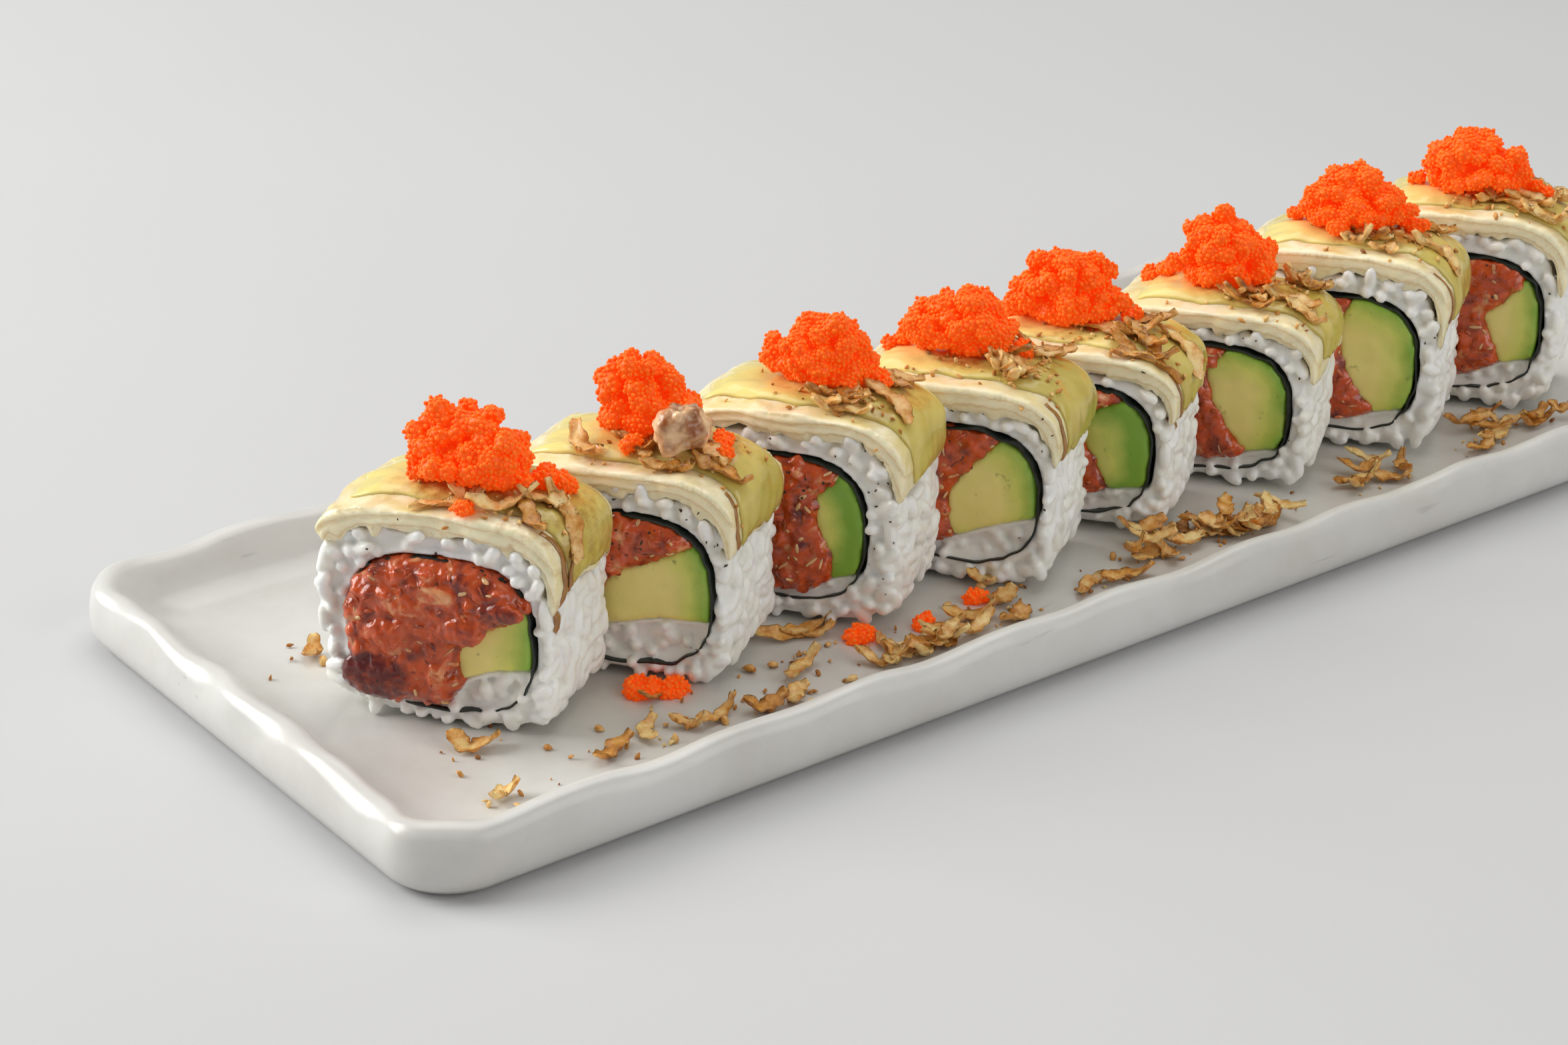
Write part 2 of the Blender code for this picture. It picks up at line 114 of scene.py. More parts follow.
def oblong(inset):
    """The dish's outline in plan, moved inwards, as a list of points with one count for all."""
    half_x = DISH_LENGTH / 2 - inset
    half_y = DISH_WIDTH / 2 - inset
    radius = min(max(2 * MM, DISH_CORNER - inset * 0.6), half_y)
    points = []
    for corner, (side_x, side_y) in enumerate(((1, 1), (-1, 1), (-1, -1), (1, -1))):
        centre_x = side_x * (half_x - radius)
        centre_y = side_y * (half_y - radius)
        for step in range(CORNER_STEPS + 1):
            angle = math.radians(90 * (corner + step / CORNER_STEPS))
            points.append((centre_x + radius * math.cos(angle), centre_y + radius * math.sin(angle)))
        start = points[-1]
        if corner in (0, 2):
            end, count = (-side_x * (half_x - radius), start[1]), LONG_STEPS
        else:
            end, count = (start[0], -side_y * (half_y - radius)), SHORT_STEPS
        for step in range(1, count):
            share = step / count
            points.append((start[0] + (end[0] - start[0]) * share, start[1] + (end[1] - start[1]) * share))
    return points


def grid_through(name, rows):
    """A grid with its corners put in their places, row by row."""
    bpy.ops.object.select_all(action="DESELECT")
    bpy.ops.mesh.primitive_grid_add(x_subdivisions=len(rows[0]) - 1, y_subdivisions=len(rows) - 1)
    piece = bpy.context.active_object
    piece.name = name
    piece.data.vertices.foreach_set("co", np.array(rows, float).ravel())
    return piece


def wrapped(name, rings):
    """A grid bent round so that its rows follow the rings, its seam and its two ends closed."""
    piece = grid_through(name, [list(ring) + [ring[0]] for ring in rings])
    bpy.ops.object.mode_set(mode="EDIT")
    bpy.ops.mesh.select_all(action="SELECT")
    bpy.ops.mesh.remove_doubles(threshold=1e-7)
    bpy.ops.mesh.fill_holes(sides=0)
    bpy.ops.mesh.select_all(action="SELECT")
    bpy.ops.mesh.normals_make_consistent(inside=False)
    bpy.ops.object.mode_set(mode="OBJECT")
    bpy.ops.object.shade_smooth()
    return piece


edge = oblong(0)
travelled = [0]
for start, end in zip(edge, edge[1:]):
    travelled.append(travelled[-1] + math.dist(start, end))
dish_rings = []
for inset, height in DISH_PROFILE:
    share = min(1, max(0, (height * MM - WAVE_START) / (DISH_HEIGHT - WAVE_START)))
    ring = []
    for (x, y), along in zip(oblong(inset * MM), travelled):
        wave = math.sin(2 * math.pi * along / RIM_WAVELENGTH) + 0.6 * math.sin(along / RIPPLE_LENGTH)
        dent = noise.noise(Vector((along / DENT_LENGTH, height / 9, 3.1))) * share * DENT_DEPTH
        pull = 1 - max(0, dent + 0.25 * MM * share) / (DISH_WIDTH / 2)
        ring.append((x * pull, y * pull, height * MM + share * (wave - 1.0) * RIM_WAVE * 0.6))
    dish_rings.append(ring)
dish = wrapped("dish_glazed", dish_rings)


def colour(code):
    """The linear colour of an sRGB hex code."""
    channels = [int(code[place:place + 2], 16) / 255 for place in (1, 3, 5)]
    linear = [value / 12.92 if value <= 0.04045 else ((value + 0.055) / 1.055) ** 2.4 for value in channels]
    return (*linear, 1)


def finish_called(name, **values):
    """A material with the fixed values of its shader's sockets."""
    made = bpy.data.materials.new(name)
    made.use_nodes = True
    shader = made.node_tree.nodes["Principled BSDF"]
    for socket, value in values.items():
        shader.inputs[socket.replace("_", " ")].default_value = value
    return made


def output_of(source):
    """A node's first output in use. Anything else stays as it is."""
    if isinstance(source, bpy.types.Node):
        return next(output for output in source.outputs if output.enabled)
    return source


def add(material, kind, inputs=None, **settings):
    """Adds one node with its settings, each input a value, an output or a node that feeds it."""
    node = material.node_tree.nodes.new("ShaderNode" + kind)
    for name, value in settings.items():
        setattr(node, name, value)
    for name, value in (inputs or {}).items():
        value = output_of(value)
        if isinstance(value, bpy.types.NodeSocket):
            material.node_tree.links.new(value, node.inputs[name])
        else:
            node.inputs[name].default_value = value
    return node


def feed(material, **sources):
    """Links nodes to the sockets of the material's shader."""
    shader = material.node_tree.nodes["Principled BSDF"]
    for name, source in sources.items():
        material.node_tree.links.new(output_of(source), shader.inputs[name.replace("_", " ")])


def dress(piece, material, slot, *nodes):
    """Gives a piece its material, its body and the solids that it stands for. The slot is not used."""
    piece.data.materials.clear()
    piece.data.materials.append(material)
    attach(piece, "root")
    if nodes:
        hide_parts(*nodes)


# Satin white glaze on stoneware: soft highlights, a faint warm cloudiness where it pooled, and
# thin grey marks of metal cutlery
glaze = finish_called("satin_white_glaze", Roughness=0.34, IOR=1.5, Coat_Weight=0.25, Coat_Roughness=0.16)
where = add(glaze, "TexCoord").outputs["Object"]
clouds = add(glaze, "TexNoise", {"Vector": where, "Scale": 38, "Detail": 5, "Roughness": 0.62})
pooled = add(glaze, "MapRange", {"Value": clouds, "From Min": 0.38, "From Max": 0.68})
tone = add(glaze, "Mix", {0: pooled, 6: colour("#D9D8D4"), 7: colour("#CECBC5")}, data_type="RGBA")
stretched = add(glaze, "Mapping", {"Vector": where, "Scale": (60, 240, 500)})
marks = add(glaze, "TexNoise", {"Vector": stretched, "Scale": 1, "Detail": 2})
scratch = add(glaze, "MapRange", {"Value": marks, "From Min": 0.71, "From Max": 0.78, "To Max": 0.30})
worn = add(glaze, "Mix", {0: scratch, 6: tone, 7: colour("#8B8D8E")}, data_type="RGBA")
uneven = add(glaze, "TexNoise", {"Vector": where, "Scale": 120, "Detail": 2})
relief = add(glaze, "Bump", {"Height": uneven, "Strength": 0.25, "Distance": 0.4 * MM})
feed(glaze, Base_Color=worn, Normal=relief)
dress(dish, glaze, "ceramic", "dish")

# The rice of each slice: short sushi grains, steamed, seasoned and pressed round the seaweed, so
# that they stick together and still show one by one. A soft core is covered in whole grains.

SLICE_COUNT = 8
FACE_TURN = math.radians(36)
ROLL_TURN = math.radians(32)
FACE_ACROSS = Vector((math.sin(FACE_TURN), -math.cos(FACE_TURN), 0))
FACE_OUT = Vector((-math.cos(FACE_TURN), -math.sin(FACE_TURN), 0))
ALONG_ROLL = Vector((math.cos(ROLL_TURN), math.sin(ROLL_TURN), 0))
UP = Vector((0, 0, 1))
SLICE_DEPTH = 24 * MM
# Slices near enough to the eye to need finer skins
NEAR_SLICES = 3
GRAIN_LENGTH = 5.9 * MM
GRAIN_WIDTH = 2.85 * MM
GRAIN_SPACING = 2.2 * MM
GRAIN_SHOWS = 1.25 * MM
# Room that the grains leave to the fillings, on the sides and on the cut faces, and to the fish
SIDE_GAP = 1.3 * MM
FILLING_GAP = 1.2 * MM
FISH_GAP = 0.9 * MM
# How far the rice inside the seaweed lies behind the cut face
BED_DEPTH = 1.3 * MM
chance = np.random.default_rng(23)


def slice_frame(number):
    """Carries across, depth and height on a slice's cut face to the row."""
    low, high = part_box(f"slice{number}_rice")
    columns = (FACE_ACROSS, ALONG_ROLL, UP)
    carried = Matrix(columns).transposed().to_4x4()
    carried.translation = ((low.x + high.x) / 2, (low.y + high.y) / 2, low.z)
    return carried


def slices():
    """Each slice's number, its name and its frame."""
    for number in range(1, SLICE_COUNT + 1):
        yield number, f"slice{number}", slice_frame(number)


def select_only(*chosen):
    """Selects these pieces alone, with the first one active."""
    bpy.ops.object.select_all(action="DESELECT")
    for piece in chosen:
        piece.select_set(True)
    bpy.context.view_layer.objects.active = chosen[0]


def worked(piece, kind, **settings):
    """Puts a modifier on a piece and applies it."""
    modifier = piece.modifiers.new(kind.lower(), kind)
    for name, value in settings.items():
        setattr(modifier, name, value)
    select_only(piece)
    bpy.ops.object.modifier_apply(modifier=modifier.name)


def carved(name, node, voxel, softening):
    """A copy of a solid with an even skin of small squares and softened edges."""
    piece = bpy.data.objects.new(name, frame["nodes"][node].data.copy())
    bpy.context.collection.objects.link(piece)
    select_only(piece)
    bpy.ops.object.mode_set(mode="EDIT")
    bpy.ops.mesh.select_all(action="SELECT")
    bpy.ops.mesh.remove_doubles(threshold=1e-6)
    bpy.ops.object.mode_set(mode="OBJECT")
    worked(piece, "REMESH", mode="VOXEL", voxel_size=voxel)
    worked(piece, "SMOOTH", factor=0.5, iterations=softening)
    bpy.ops.object.shade_smooth()
    return piece


def fine(number, near, far):
    """A size in mm that is finer on the slices nearest the eye."""
    return (near if number <= NEAR_SLICES else far) * MM


def places_on(piece, spacing, tries):
    """Spots all over a piece, at least the spacing apart, and the way out at each."""
    mesh = piece.data
    mesh.calc_loop_triangles()
    points = np.empty(len(mesh.vertices) * 3)
    mesh.vertices.foreach_get("co", points)
    corners = np.empty(len(mesh.loop_triangles) * 3, int)
    mesh.loop_triangles.foreach_get("vertices", corners)
    first, second, third = points.reshape(-1, 3)[corners.reshape(-1, 3)].transpose(1, 0, 2)
    cross = np.cross(second - first, third - first)
    size = np.linalg.norm(cross, axis=1)
    picked = chance.choice(len(size), tries, p=size / size.sum())
    root, share = np.sqrt(chance.random((tries, 1))), chance.random((tries, 1))
    spots = first[picked] * (1 - root) + second[picked] * root * (1 - share) + third[picked] * root * share
    outward = cross[picked] / size[picked, None]
    taken, kept = {}, []
    for index, spot in enumerate(spots.tolist()):
        cell = tuple(int(value // spacing) for value in spot)
        near = [taken.get((cell[0] + x, cell[1] + y, cell[2] + z), ())
                for x in (-1, 0, 1) for y in (-1, 0, 1) for z in (-1, 0, 1)]
        if all(math.dist(spot, other) >= spacing for group in near for other in group):
            taken.setdefault(cell, []).append(spot)
            kept.append(index)
    return [(Vector(spots[index]), Vector(outward[index])) for index in kept]


def surface_of(*nodes):
    """The skins of some solids or pieces, to measure distances to them."""
    corners, faces = [], []
    for node in nodes:
        mesh = (frame["nodes"][node] if isinstance(node, str) else node).data
        mesh.calc_loop_triangles()
        faces += [tuple(corner + len(corners) for corner in face.vertices) for face in mesh.loop_triangles]
        corners += [vertex.co.copy() for vertex in mesh.vertices]
    return BVHTree.FromPolygons(corners, faces)


def sideways(out):
    """A way along a surface, turned at random."""
    return Matrix.Rotation(chance.uniform(0, math.pi), 3, out) @ out.orthogonal().normalized()


def lying(spot, length_way, out, sizes):
    """The place of a small thing: its long side one way, its flat side out, at its size."""
    long = length_way.normalized()
    flat = (out - out.dot(long) * long).normalized()
    turned = Matrix((long, flat.cross(long), flat)).transposed()
    placed = turned.to_4x4() @ Matrix.Diagonal((*sizes, 1))
    placed.translation = spot
    return placed


def joined(name, shape, placed, tints):
    """One mesh of many copies of a small shape, each with its place and its tint."""
    source = shape.data
    corners = np.empty(len(source.vertices) * 3)
    source.vertices.foreach_get("co", corners)
    corners = corners.reshape(-1, 3)
    loops = np.empty(len(source.loops), int)
    source.loops.foreach_get("vertex_index", loops)
    starts = np.empty(len(source.polygons), int)
    source.polygons.foreach_get("loop_start", starts)
    placed = np.array(placed)
    count = len(placed)
    moved = np.einsum("kij,nj->kni", placed[:, :3, :3], corners) + placed[:, None, :3, 3]
    each = np.arange(count)[:, None]
    mesh = bpy.data.meshes.new(name)
    mesh.vertices.add(count * len(corners))
    mesh.vertices.foreach_set("co", moved.ravel())
    mesh.loops.add(count * len(loops))
    mesh.loops.foreach_set("vertex_index", (loops + each * len(corners)).ravel())
    mesh.polygons.add(count * len(starts))
    mesh.polygons.foreach_set("loop_start", (starts + each * len(loops)).ravel())
    mesh.update(calc_edges=True)
    mesh.shade_smooth()
    tint = mesh.attributes.new("tint", "FLOAT", "POINT")
    tint.data.foreach_set("value", np.repeat(np.array(tints, float), len(corners)))
    piece = bpy.data.objects.new(name, mesh)
    bpy.context.collection.objects.link(piece)
    return piece


def one_piece(name, *members):
    """Joins pieces into one."""
    select_only(*members)
    bpy.ops.object.join()
    members[0].name = name
    return members[0]


def pebble(segments, rings):
    """A ball one unit across, with its poles at the ends of its long side."""
    bpy.ops.object.select_all(action="DESELECT")
    bpy.ops.mesh.primitive_uv_sphere_add(segments=segments, ring_count=rings, radius=0.5)
    made = bpy.context.active_object
    made.data.transform(Matrix.Rotation(math.radians(90), 4, "Y"))
    return made


# The seaweed on the solids, which is thicker than the real sheet
NORI_SOLID = 0.7 * MM
NORI_ROUNDNESS = 2.8


def loop_of(number):
    """Middle and half sizes of a slice's seaweed loop on the cut face, from its solid."""
    low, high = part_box(f"slice{number}_nori")
    middle = slice_frame(number).inverted() @ ((low + high) / 2)
    half_depth = SLICE_DEPTH / 2 - 0.3 * MM
    half_width = ((high.y - low.y) / 2 - half_depth * math.sin(ROLL_TURN)) / math.cos(FACE_TURN)
    half_height = (high.z - low.z) / 2
    return middle.x, middle.z, half_width - NORI_SOLID / 2, half_height - NORI_SOLID / 2


def sunk_in(loop, local):
    """How deep the rice inside the seaweed's loop lies behind the cut face, at a place on the face."""
    centre_x, centre_z, half_width, half_height = loop
    away = abs((local.x - centre_x) / half_width) ** NORI_ROUNDNESS
    away += abs((local.z - centre_z) / half_height) ** NORI_ROUNDNESS
    return BED_DEPTH * min(1, max(0, (1 - away) * 5))


# Steamed short-grain rice: white and glassy, so light goes in and comes out soft
steamed = finish_called("steamed_sushi_rice", Roughness=0.30, IOR=1.4, Subsurface_Weight=0.7,
                        Subsurface_Scale=1.0 * MM, Subsurface_Radius=(1.0, 0.95, 0.82), Coat_Weight=0.2,
                        Coat_Roughness=0.2)
where = add(steamed, "TexCoord").outputs["Object"]
blotch = add(steamed, "TexNoise", {"Vector": where, "Scale": 190, "Detail": 2})
clouded = add(steamed, "MapRange", {"Value": blotch, "From Min": 0.35, "From Max": 0.68})
grain_tone = add(steamed, "Mix", {0: clouded, 6: colour("#FFFEF8"), 7: colour("#F4F2EA")}, data_type="RGBA")
skin = add(steamed, "TexNoise", {"Vector": where, "Scale": 800, "Detail": 2})
grain_relief = add(steamed, "Bump", {"Height": skin, "Strength": 0.25, "Distance": 0.2 * MM})
feed(steamed, Base_Color=grain_tone, Normal=grain_relief)

# One grain, blunter at its ends than a ball
grain_shape = pebble(8, 6)
for vertex in grain_shape.data.vertices:
    along = min(0.999, abs(vertex.co.x) * 2)
    blunt = (1 - along ** 2.8) ** 0.43 / math.sqrt(1 - along ** 2)
    vertex.co.y *= blunt
    vertex.co.z *= blunt
for number, name, place in slices():
    fillings = surface_of(f"{name}_nori", f"{name}_tuna", f"{name}_avocado")
    covers = surface_of(f"{name}_fish")
    back = place.inverted()
    loop = loop_of(number)
    core = carved(f"{name}_rice_core", f"{name}_rice", voxel=0.8 * MM, softening=3)
    placed = []
    # Grains on a cut face were cut short and stand at all angles, those on the sides lie flat
    for spot, out in places_on(core, GRAIN_SPACING, tries=3200):
        on_face = abs(out.dot(FACE_OUT)) > 0.8
        nearest, _, _, room = fillings.find_nearest(spot)
        if out.z < -0.7 or (room < SIDE_GAP and not on_face):
            continue
        if covers.find_nearest(spot)[3] < FISH_GAP and out.z > -0.3 and not on_face:
            continue
        if room < FILLING_GAP:
            away = spot - nearest
            away -= away.dot(ALONG_ROLL) * ALONG_ROLL
            spot = spot + away.normalized() * (FILLING_GAP - room)
        if on_face:
            side = sideways(out)
            tilt = math.radians(chance.uniform(58, 85) if room < 2.2 * MM else chance.uniform(12, 62))
            way = side * math.cos(tilt) + out * math.sin(tilt)
        else:
            flat = UP if chance.random() < 0.6 else ALONG_ROLL
            flat = (flat - flat.dot(out) * out).normalized()
            way = Matrix.Rotation(chance.normal(0, 0.5), 3, out) @ flat
        sizes = (GRAIN_LENGTH * chance.uniform(0.82, 1.1), GRAIN_WIDTH * chance.uniform(0.9, 1.1),
                 GRAIN_WIDTH * chance.uniform(0.82, 1.0))
        lean = abs(way.dot(out))
        reach = math.hypot(sizes[0] / 2 * lean, sizes[2] / 2 * math.sqrt(max(0, 1 - lean ** 2)))
        hollow = sunk_in(loop, back @ spot) if on_face else 0
        centre = spot - out * (reach + hollow - GRAIN_SHOWS * chance.uniform(0.3, 1.15))
        low = math.hypot(sizes[0] / 2 * way.z, sizes[1] / 2 * math.sqrt(max(0, 1 - way.z ** 2)))
        centre.z = max(centre.z, DISH_FLOOR + low + 0.1 * MM)
        placed.append(lying(centre, way, out, sizes))
    grains = joined(f"{name}_grains", grain_shape, placed, chance.random(len(placed)))
    sunk = []
    # The core sinks in between the grains, but stays where it was beside the fillings
    for vertex in core.data.vertices:
        room = fillings.find_nearest(vertex.co)[3]
        deeper = MM * min(1, max(0, (room - 0.6 * MM) / MM))
        deeper += abs(vertex.normal.dot(FACE_OUT)) * sunk_in(loop, back @ vertex.co)
        sunk.append(vertex.co - vertex.normal * deeper)
    core.data.vertices.foreach_set("co", np.array(sunk).ravel())
    rice = one_piece(f"{name}_rice_grains", core, grains)
    worked(rice, "REMESH", mode="VOXEL", voxel_size=fine(number, 0.36, 0.45))
    worked(rice, "DECIMATE", ratio=0.5)
    bpy.ops.object.shade_smooth()
    dress(rice, steamed, "rice", f"{name}_rice")

# The seaweed: one roasted sheet of nori, rolled into a loop that stays open at the lower left.
# It is thin, and moist rice has made it soft, so it bends round the grains.

NORI_THICKNESS = 0.4 * MM
NORI_START = math.radians(-108)
NORI_END = math.radians(232)
NORI_COLUMNS = 96
NORI_ROWS = 14
NORI_CRINKLE = 0.8 * MM
NORI_RAGGED = 0.5 * MM

# Roasted seaweed: green-black, finely crinkled, with a dull gloss
seaweed = finish_called("roasted_seaweed", Roughness=0.38, IOR=1.45, Coat_Weight=0.2, Coat_Roughness=0.25)
where = add(seaweed, "TexCoord").outputs["Object"]
fibre = add(seaweed, "TexNoise", {"Vector": where, "Scale": 420, "Detail": 4, "Roughness": 0.7})
dark = add(seaweed, "Mix", {0: fibre, 6: colour("#0B100E"), 7: colour("#26312A")}, data_type="RGBA")
crinkle = add(seaweed, "Bump", {"Height": fibre, "Strength": 0.6, "Distance": 0.3 * MM})
feed(seaweed, Base_Color=dark, Normal=crinkle)


def squarish(angle, half_width, half_height, roundness):
    """A point of a squarish ring, by its angle up from the right."""
    across = math.copysign(abs(math.cos(angle)) ** (2 / roundness), math.cos(angle))
    up = math.copysign(abs(math.sin(angle)) ** (2 / roundness), math.sin(angle))
    return half_width * across, half_height * up


for number, name, place in slices():
    centre_x, centre_z, half_width, half_height = loop_of(number)
    rows = []
    for row in range(NORI_ROWS + 1):
        points = []
        for column in range(NORI_COLUMNS + 1):
            share = column / NORI_COLUMNS
            angle = NORI_START + (NORI_END - NORI_START) * share
            wobble = noise.noise(Vector((angle * 4, row * 0.3, number * 7))) * NORI_CRINKLE
            x, z = squarish(angle, half_width + wobble, half_height + wobble, NORI_ROUNDNESS)
            ragged = noise.noise(Vector((angle * 6, number * 3, 1.5))) * NORI_RAGGED
            depth = (row / NORI_ROWS - 0.5) * (SLICE_DEPTH + NORI_RAGGED + 2 * ragged)
            points.append(place @ Vector((centre_x + x, depth, centre_z + z)))
        rows.append(points)
    sheet = grid_through(f"{name}_nori_sheet", rows)
    worked(sheet, "SOLIDIFY", thickness=NORI_THICKNESS, offset=0)
    bpy.ops.object.shade_smooth_by_angle(angle=math.radians(40))
    dress(sheet, seaweed, "nori", f"{name}_nori")

# The tuna: raw tuna minced by hand with spicy sauce, wet and lumpy, which swells out of the cut.
# A kneaded core carries soft shreds of darker meat, orange fat and pale sinew.


def marked(piece, name, values):
    """Writes a number at every corner of a piece, for its material to read."""
    found = piece.data.attributes.get(name) or piece.data.attributes.new(name, "FLOAT", "POINT")
    found.data.foreach_set("value", np.array(values, float))


def swollen(piece, amount):
    """Moves a piece's whole skin outwards, or inwards by an amount below nought."""
    worked(piece, "DISPLACE", strength=amount, mid_level=0)


def dented(piece, width, height):
    """Soft bumps of about that width and height all over a piece."""
    bumps = bpy.data.textures.new("bumps", "CLOUDS")
    bumps.noise_scale = width
    bumps.noise_depth = 1
    worked(piece, "DISPLACE", texture=bumps, texture_coords="LOCAL", strength=height, mid_level=0.5)


# Minced tuna in spicy sauce: clear dark red to orange flesh, beige sinew, wet and shiny
minced = finish_called("minced_tuna", Roughness=0.22, IOR=1.42, Subsurface_Weight=0.35,
                       Subsurface_Scale=1.2 * MM, Subsurface_Radius=(1.0, 0.28, 0.14), Coat_Weight=0.6,
                       Coat_Roughness=0.08)
tint = add(minced, "Attribute", attribute_name="tint").outputs["Fac"]
where = add(minced, "TexCoord").outputs["Object"]
streaks = add(minced, "TexNoise", {"Vector": where, "Scale": 260, "Detail": 4, "Distortion": 1.5})
varied = add(minced, "MapRange", {"Value": streaks, "From Min": 0.3, "From Max": 0.7,
                                  "To Min": -0.22, "To Max": 0.22})
shade = add(minced, "Math", {0: tint, 1: varied}, operation="ADD")
red = add(minced, "MapRange", {"Value": shade, "From Min": 0.0, "From Max": 0.5})
pale = add(minced, "MapRange", {"Value": shade, "From Min": 0.62, "From Max": 0.95})
flesh = add(minced, "Mix", {0: red, 6: colour("#641C18"), 7: colour("#CC5018")}, data_type="RGBA")
sinew = add(minced, "Mix", {0: pale, 6: flesh, 7: colour("#F0B27C")}, data_type="RGBA")
grit = add(minced, "TexNoise", {"Vector": where, "Scale": 700, "Detail": 3})
wet = add(minced, "Bump", {"Height": grit, "Strength": 0.5, "Distance": 0.5 * MM})
feed(minced, Base_Color=sinew, Normal=wet)

# A lump of meat and a fleck of sinew or fat
lump_shape = pebble(12, 8)
fleck_shape = pebble(6, 4)
LUMP_SPACING = 2.2 * MM
FLECK_SPACING = 1.6 * MM
# Larger pieces in the first slice's filling: across, height and sizes in mm, and their tone
CHUNKS = [(-10.5, 9.5, 15, 9.5, 4.0, 0.02), (2.0, 27.0, 7.5, 3.6, 2.6, 0.80), (13.0, 25.0, 9, 4.0, 2.8, 0.16),
          (-5.0, 24.0, 9, 4.5, 3.0, 0.62), (5.5, 20.5, 9, 6.0, 3.5, 0.36), (-8.5, 18.0, 9, 6.5, 3.8, 0.50)]


def on_the_cut(target, place, across, up):
    """Where a place on a slice's front cut face is on the target, and the way out there."""
    start = place @ Vector((across, 0, up)) + FACE_OUT * 40 * MM
    return target.ray_cast(start, -FACE_OUT)


for number, name, place in slices():
    core = carved(f"{name}_tuna_core", f"{name}_tuna", voxel=0.6 * MM, softening=2)
    swollen(core, (1.1 if number == 1 else 0.6) * MM)
    placed = []
    for spot, out in places_on(core, LUMP_SPACING, tries=1500):
        if abs(out.dot(FACE_OUT)) < 0.45:
            continue
        side = sideways(out)
        sizes = (chance.uniform(2.4, 5.5) * MM, chance.uniform(1.6, 3.2) * MM, chance.uniform(1.6, 2.8) * MM)
        centre = spot - out * chance.uniform(0.1, 0.9) * MM
        placed.append(lying(centre, side + out * chance.uniform(-0.3, 0.3), out, sizes))
    wall = surface_of(core)
    chunks = CHUNKS if number == 1 else []
    for across, up, long, high, thick, tone in chunks:
        hit = on_the_cut(wall, place, across * MM, up * MM)[0]
        if hit:
            placed.append(lying(hit - FACE_OUT * thick * 0.1 * MM, FACE_ACROSS, FACE_OUT,
                                (long * MM, high * MM, thick * MM)))
    lumps = joined(f"{name}_tuna_lumps", lump_shape, placed, [0.5] * len(placed))
    tuna = one_piece(f"{name}_tuna_minced", core, lumps)
    worked(tuna, "REMESH", mode="VOXEL", voxel_size=fine(number, 0.38, 0.55))
    worked(tuna, "SMOOTH", factor=0.5, iterations=2)
    dented(tuna, width=1.2 * MM, height=0.7 * MM)
    worked(tuna, "DECIMATE", ratio=0.55)
    bpy.ops.object.shade_smooth()
    back = place.inverted()
    tones = []
    # Patches of redder and paler meat, and on the first slice the tones of its large pieces
    for vertex in tuna.data.vertices:
        local = back @ vertex.co
        tone = 0.46 + 0.45 * noise.noise(vertex.co / (2.6 * MM))
        for across, up, long, high, _, chunk_tone in chunks:
            away = math.hypot((local.x / MM - across) / long * 2, (local.z / MM - up) / high * 2)
            share = min(1, max(0, (1.12 - away) * 4)) * (local.y < 0)
            tone += (chunk_tone + 0.1 * noise.noise(vertex.co / (1.2 * MM)) - tone) * share
        tones.append(tone)
    marked(tuna, "tint", tones)
    placed, tints = [], []
    for spot, out in places_on(tuna, FLECK_SPACING, tries=900):
        local = back @ spot
        inside = [chunk for chunk in chunks if math.hypot((local.x / MM - chunk[0]) / chunk[2] * 2,
                                                          (local.z / MM - chunk[1]) / chunk[3] * 2) < 1]
        if abs(out.dot(FACE_OUT)) < 0.4 or (inside and local.y < 0):
            continue
        side = sideways(out)
        sizes = (chance.uniform(0.9, 3.0) * MM, chance.uniform(0.5, 1.1) * MM, chance.uniform(0.4, 0.7) * MM)
        placed.append(lying(spot - out * 0.1 * MM, side, out, sizes))
        tints.append(chance.choice((0.25, 0.45, 0.6, 0.8, 1.1)))
    flecks = joined(f"{name}_tuna_flecks", fleck_shape, placed, tints)
    tuna = one_piece(f"{name}_tuna_minced", tuna, flecks)
    dress(tuna, minced, "tuna", f"{name}_tuna")

# The avocado: one ripe stick laid in the roll and cut with it, so the knife left it smooth. Its
# flesh is cream-yellow and turns green towards the side that lay under the peel.

# Ripe avocado: buttery and a little waxy, cream to green, with a few olive threads
ripe = finish_called("ripe_avocado", Roughness=0.34, IOR=1.42, Subsurface_Weight=0.4,
                     Subsurface_Scale=1.6 * MM, Subsurface_Radius=(1.0, 0.9, 0.35), Coat_Weight=0.2,
                     Coat_Roughness=0.2)
peel_side = add(ripe, "Attribute", attribute_name="green").outputs["Fac"]
where = add(ripe, "TexCoord").outputs["Object"]
soft = add(ripe, "TexNoise", {"Vector": where, "Scale": 160, "Detail": 3})
drift = add(ripe, "MapRange", {"Value": soft, "From Min": 0.3, "From Max": 0.7,
                               "To Min": -0.12, "To Max": 0.12})
greening = add(ripe, "Math", {0: peel_side, 1: drift}, operation="ADD")
inner = add(ripe, "MapRange", {"Value": greening, "From Min": 0.0, "From Max": 0.6})
outer = add(ripe, "MapRange", {"Value": greening, "From Min": 0.55, "From Max": 1.0})
cream = add(ripe, "Mix", {0: inner, 6: colour("#F4E58E"), 7: colour("#D6DB6C")}, data_type="RGBA")
lime = add(ripe, "Mix", {0: outer, 6: cream, 7: colour("#86B23A")}, data_type="RGBA")
threads = add(ripe, "TexNoise", {"Vector": where, "Scale": 330, "Detail": 3, "Roughness": 0.6})
spotted = add(ripe, "MapRange", {"Value": threads, "From Min": 0.66, "From Max": 0.76, "To Max": 0.6})
flesh = add(ripe, "Mix", {0: spotted, 6: lime, 7: colour("#6F7430")}, data_type="RGBA")
buttery = add(ripe, "Bump", {"Height": threads, "Strength": 0.2, "Distance": 0.3 * MM})
feed(ripe, Base_Color=flesh, Normal=buttery)

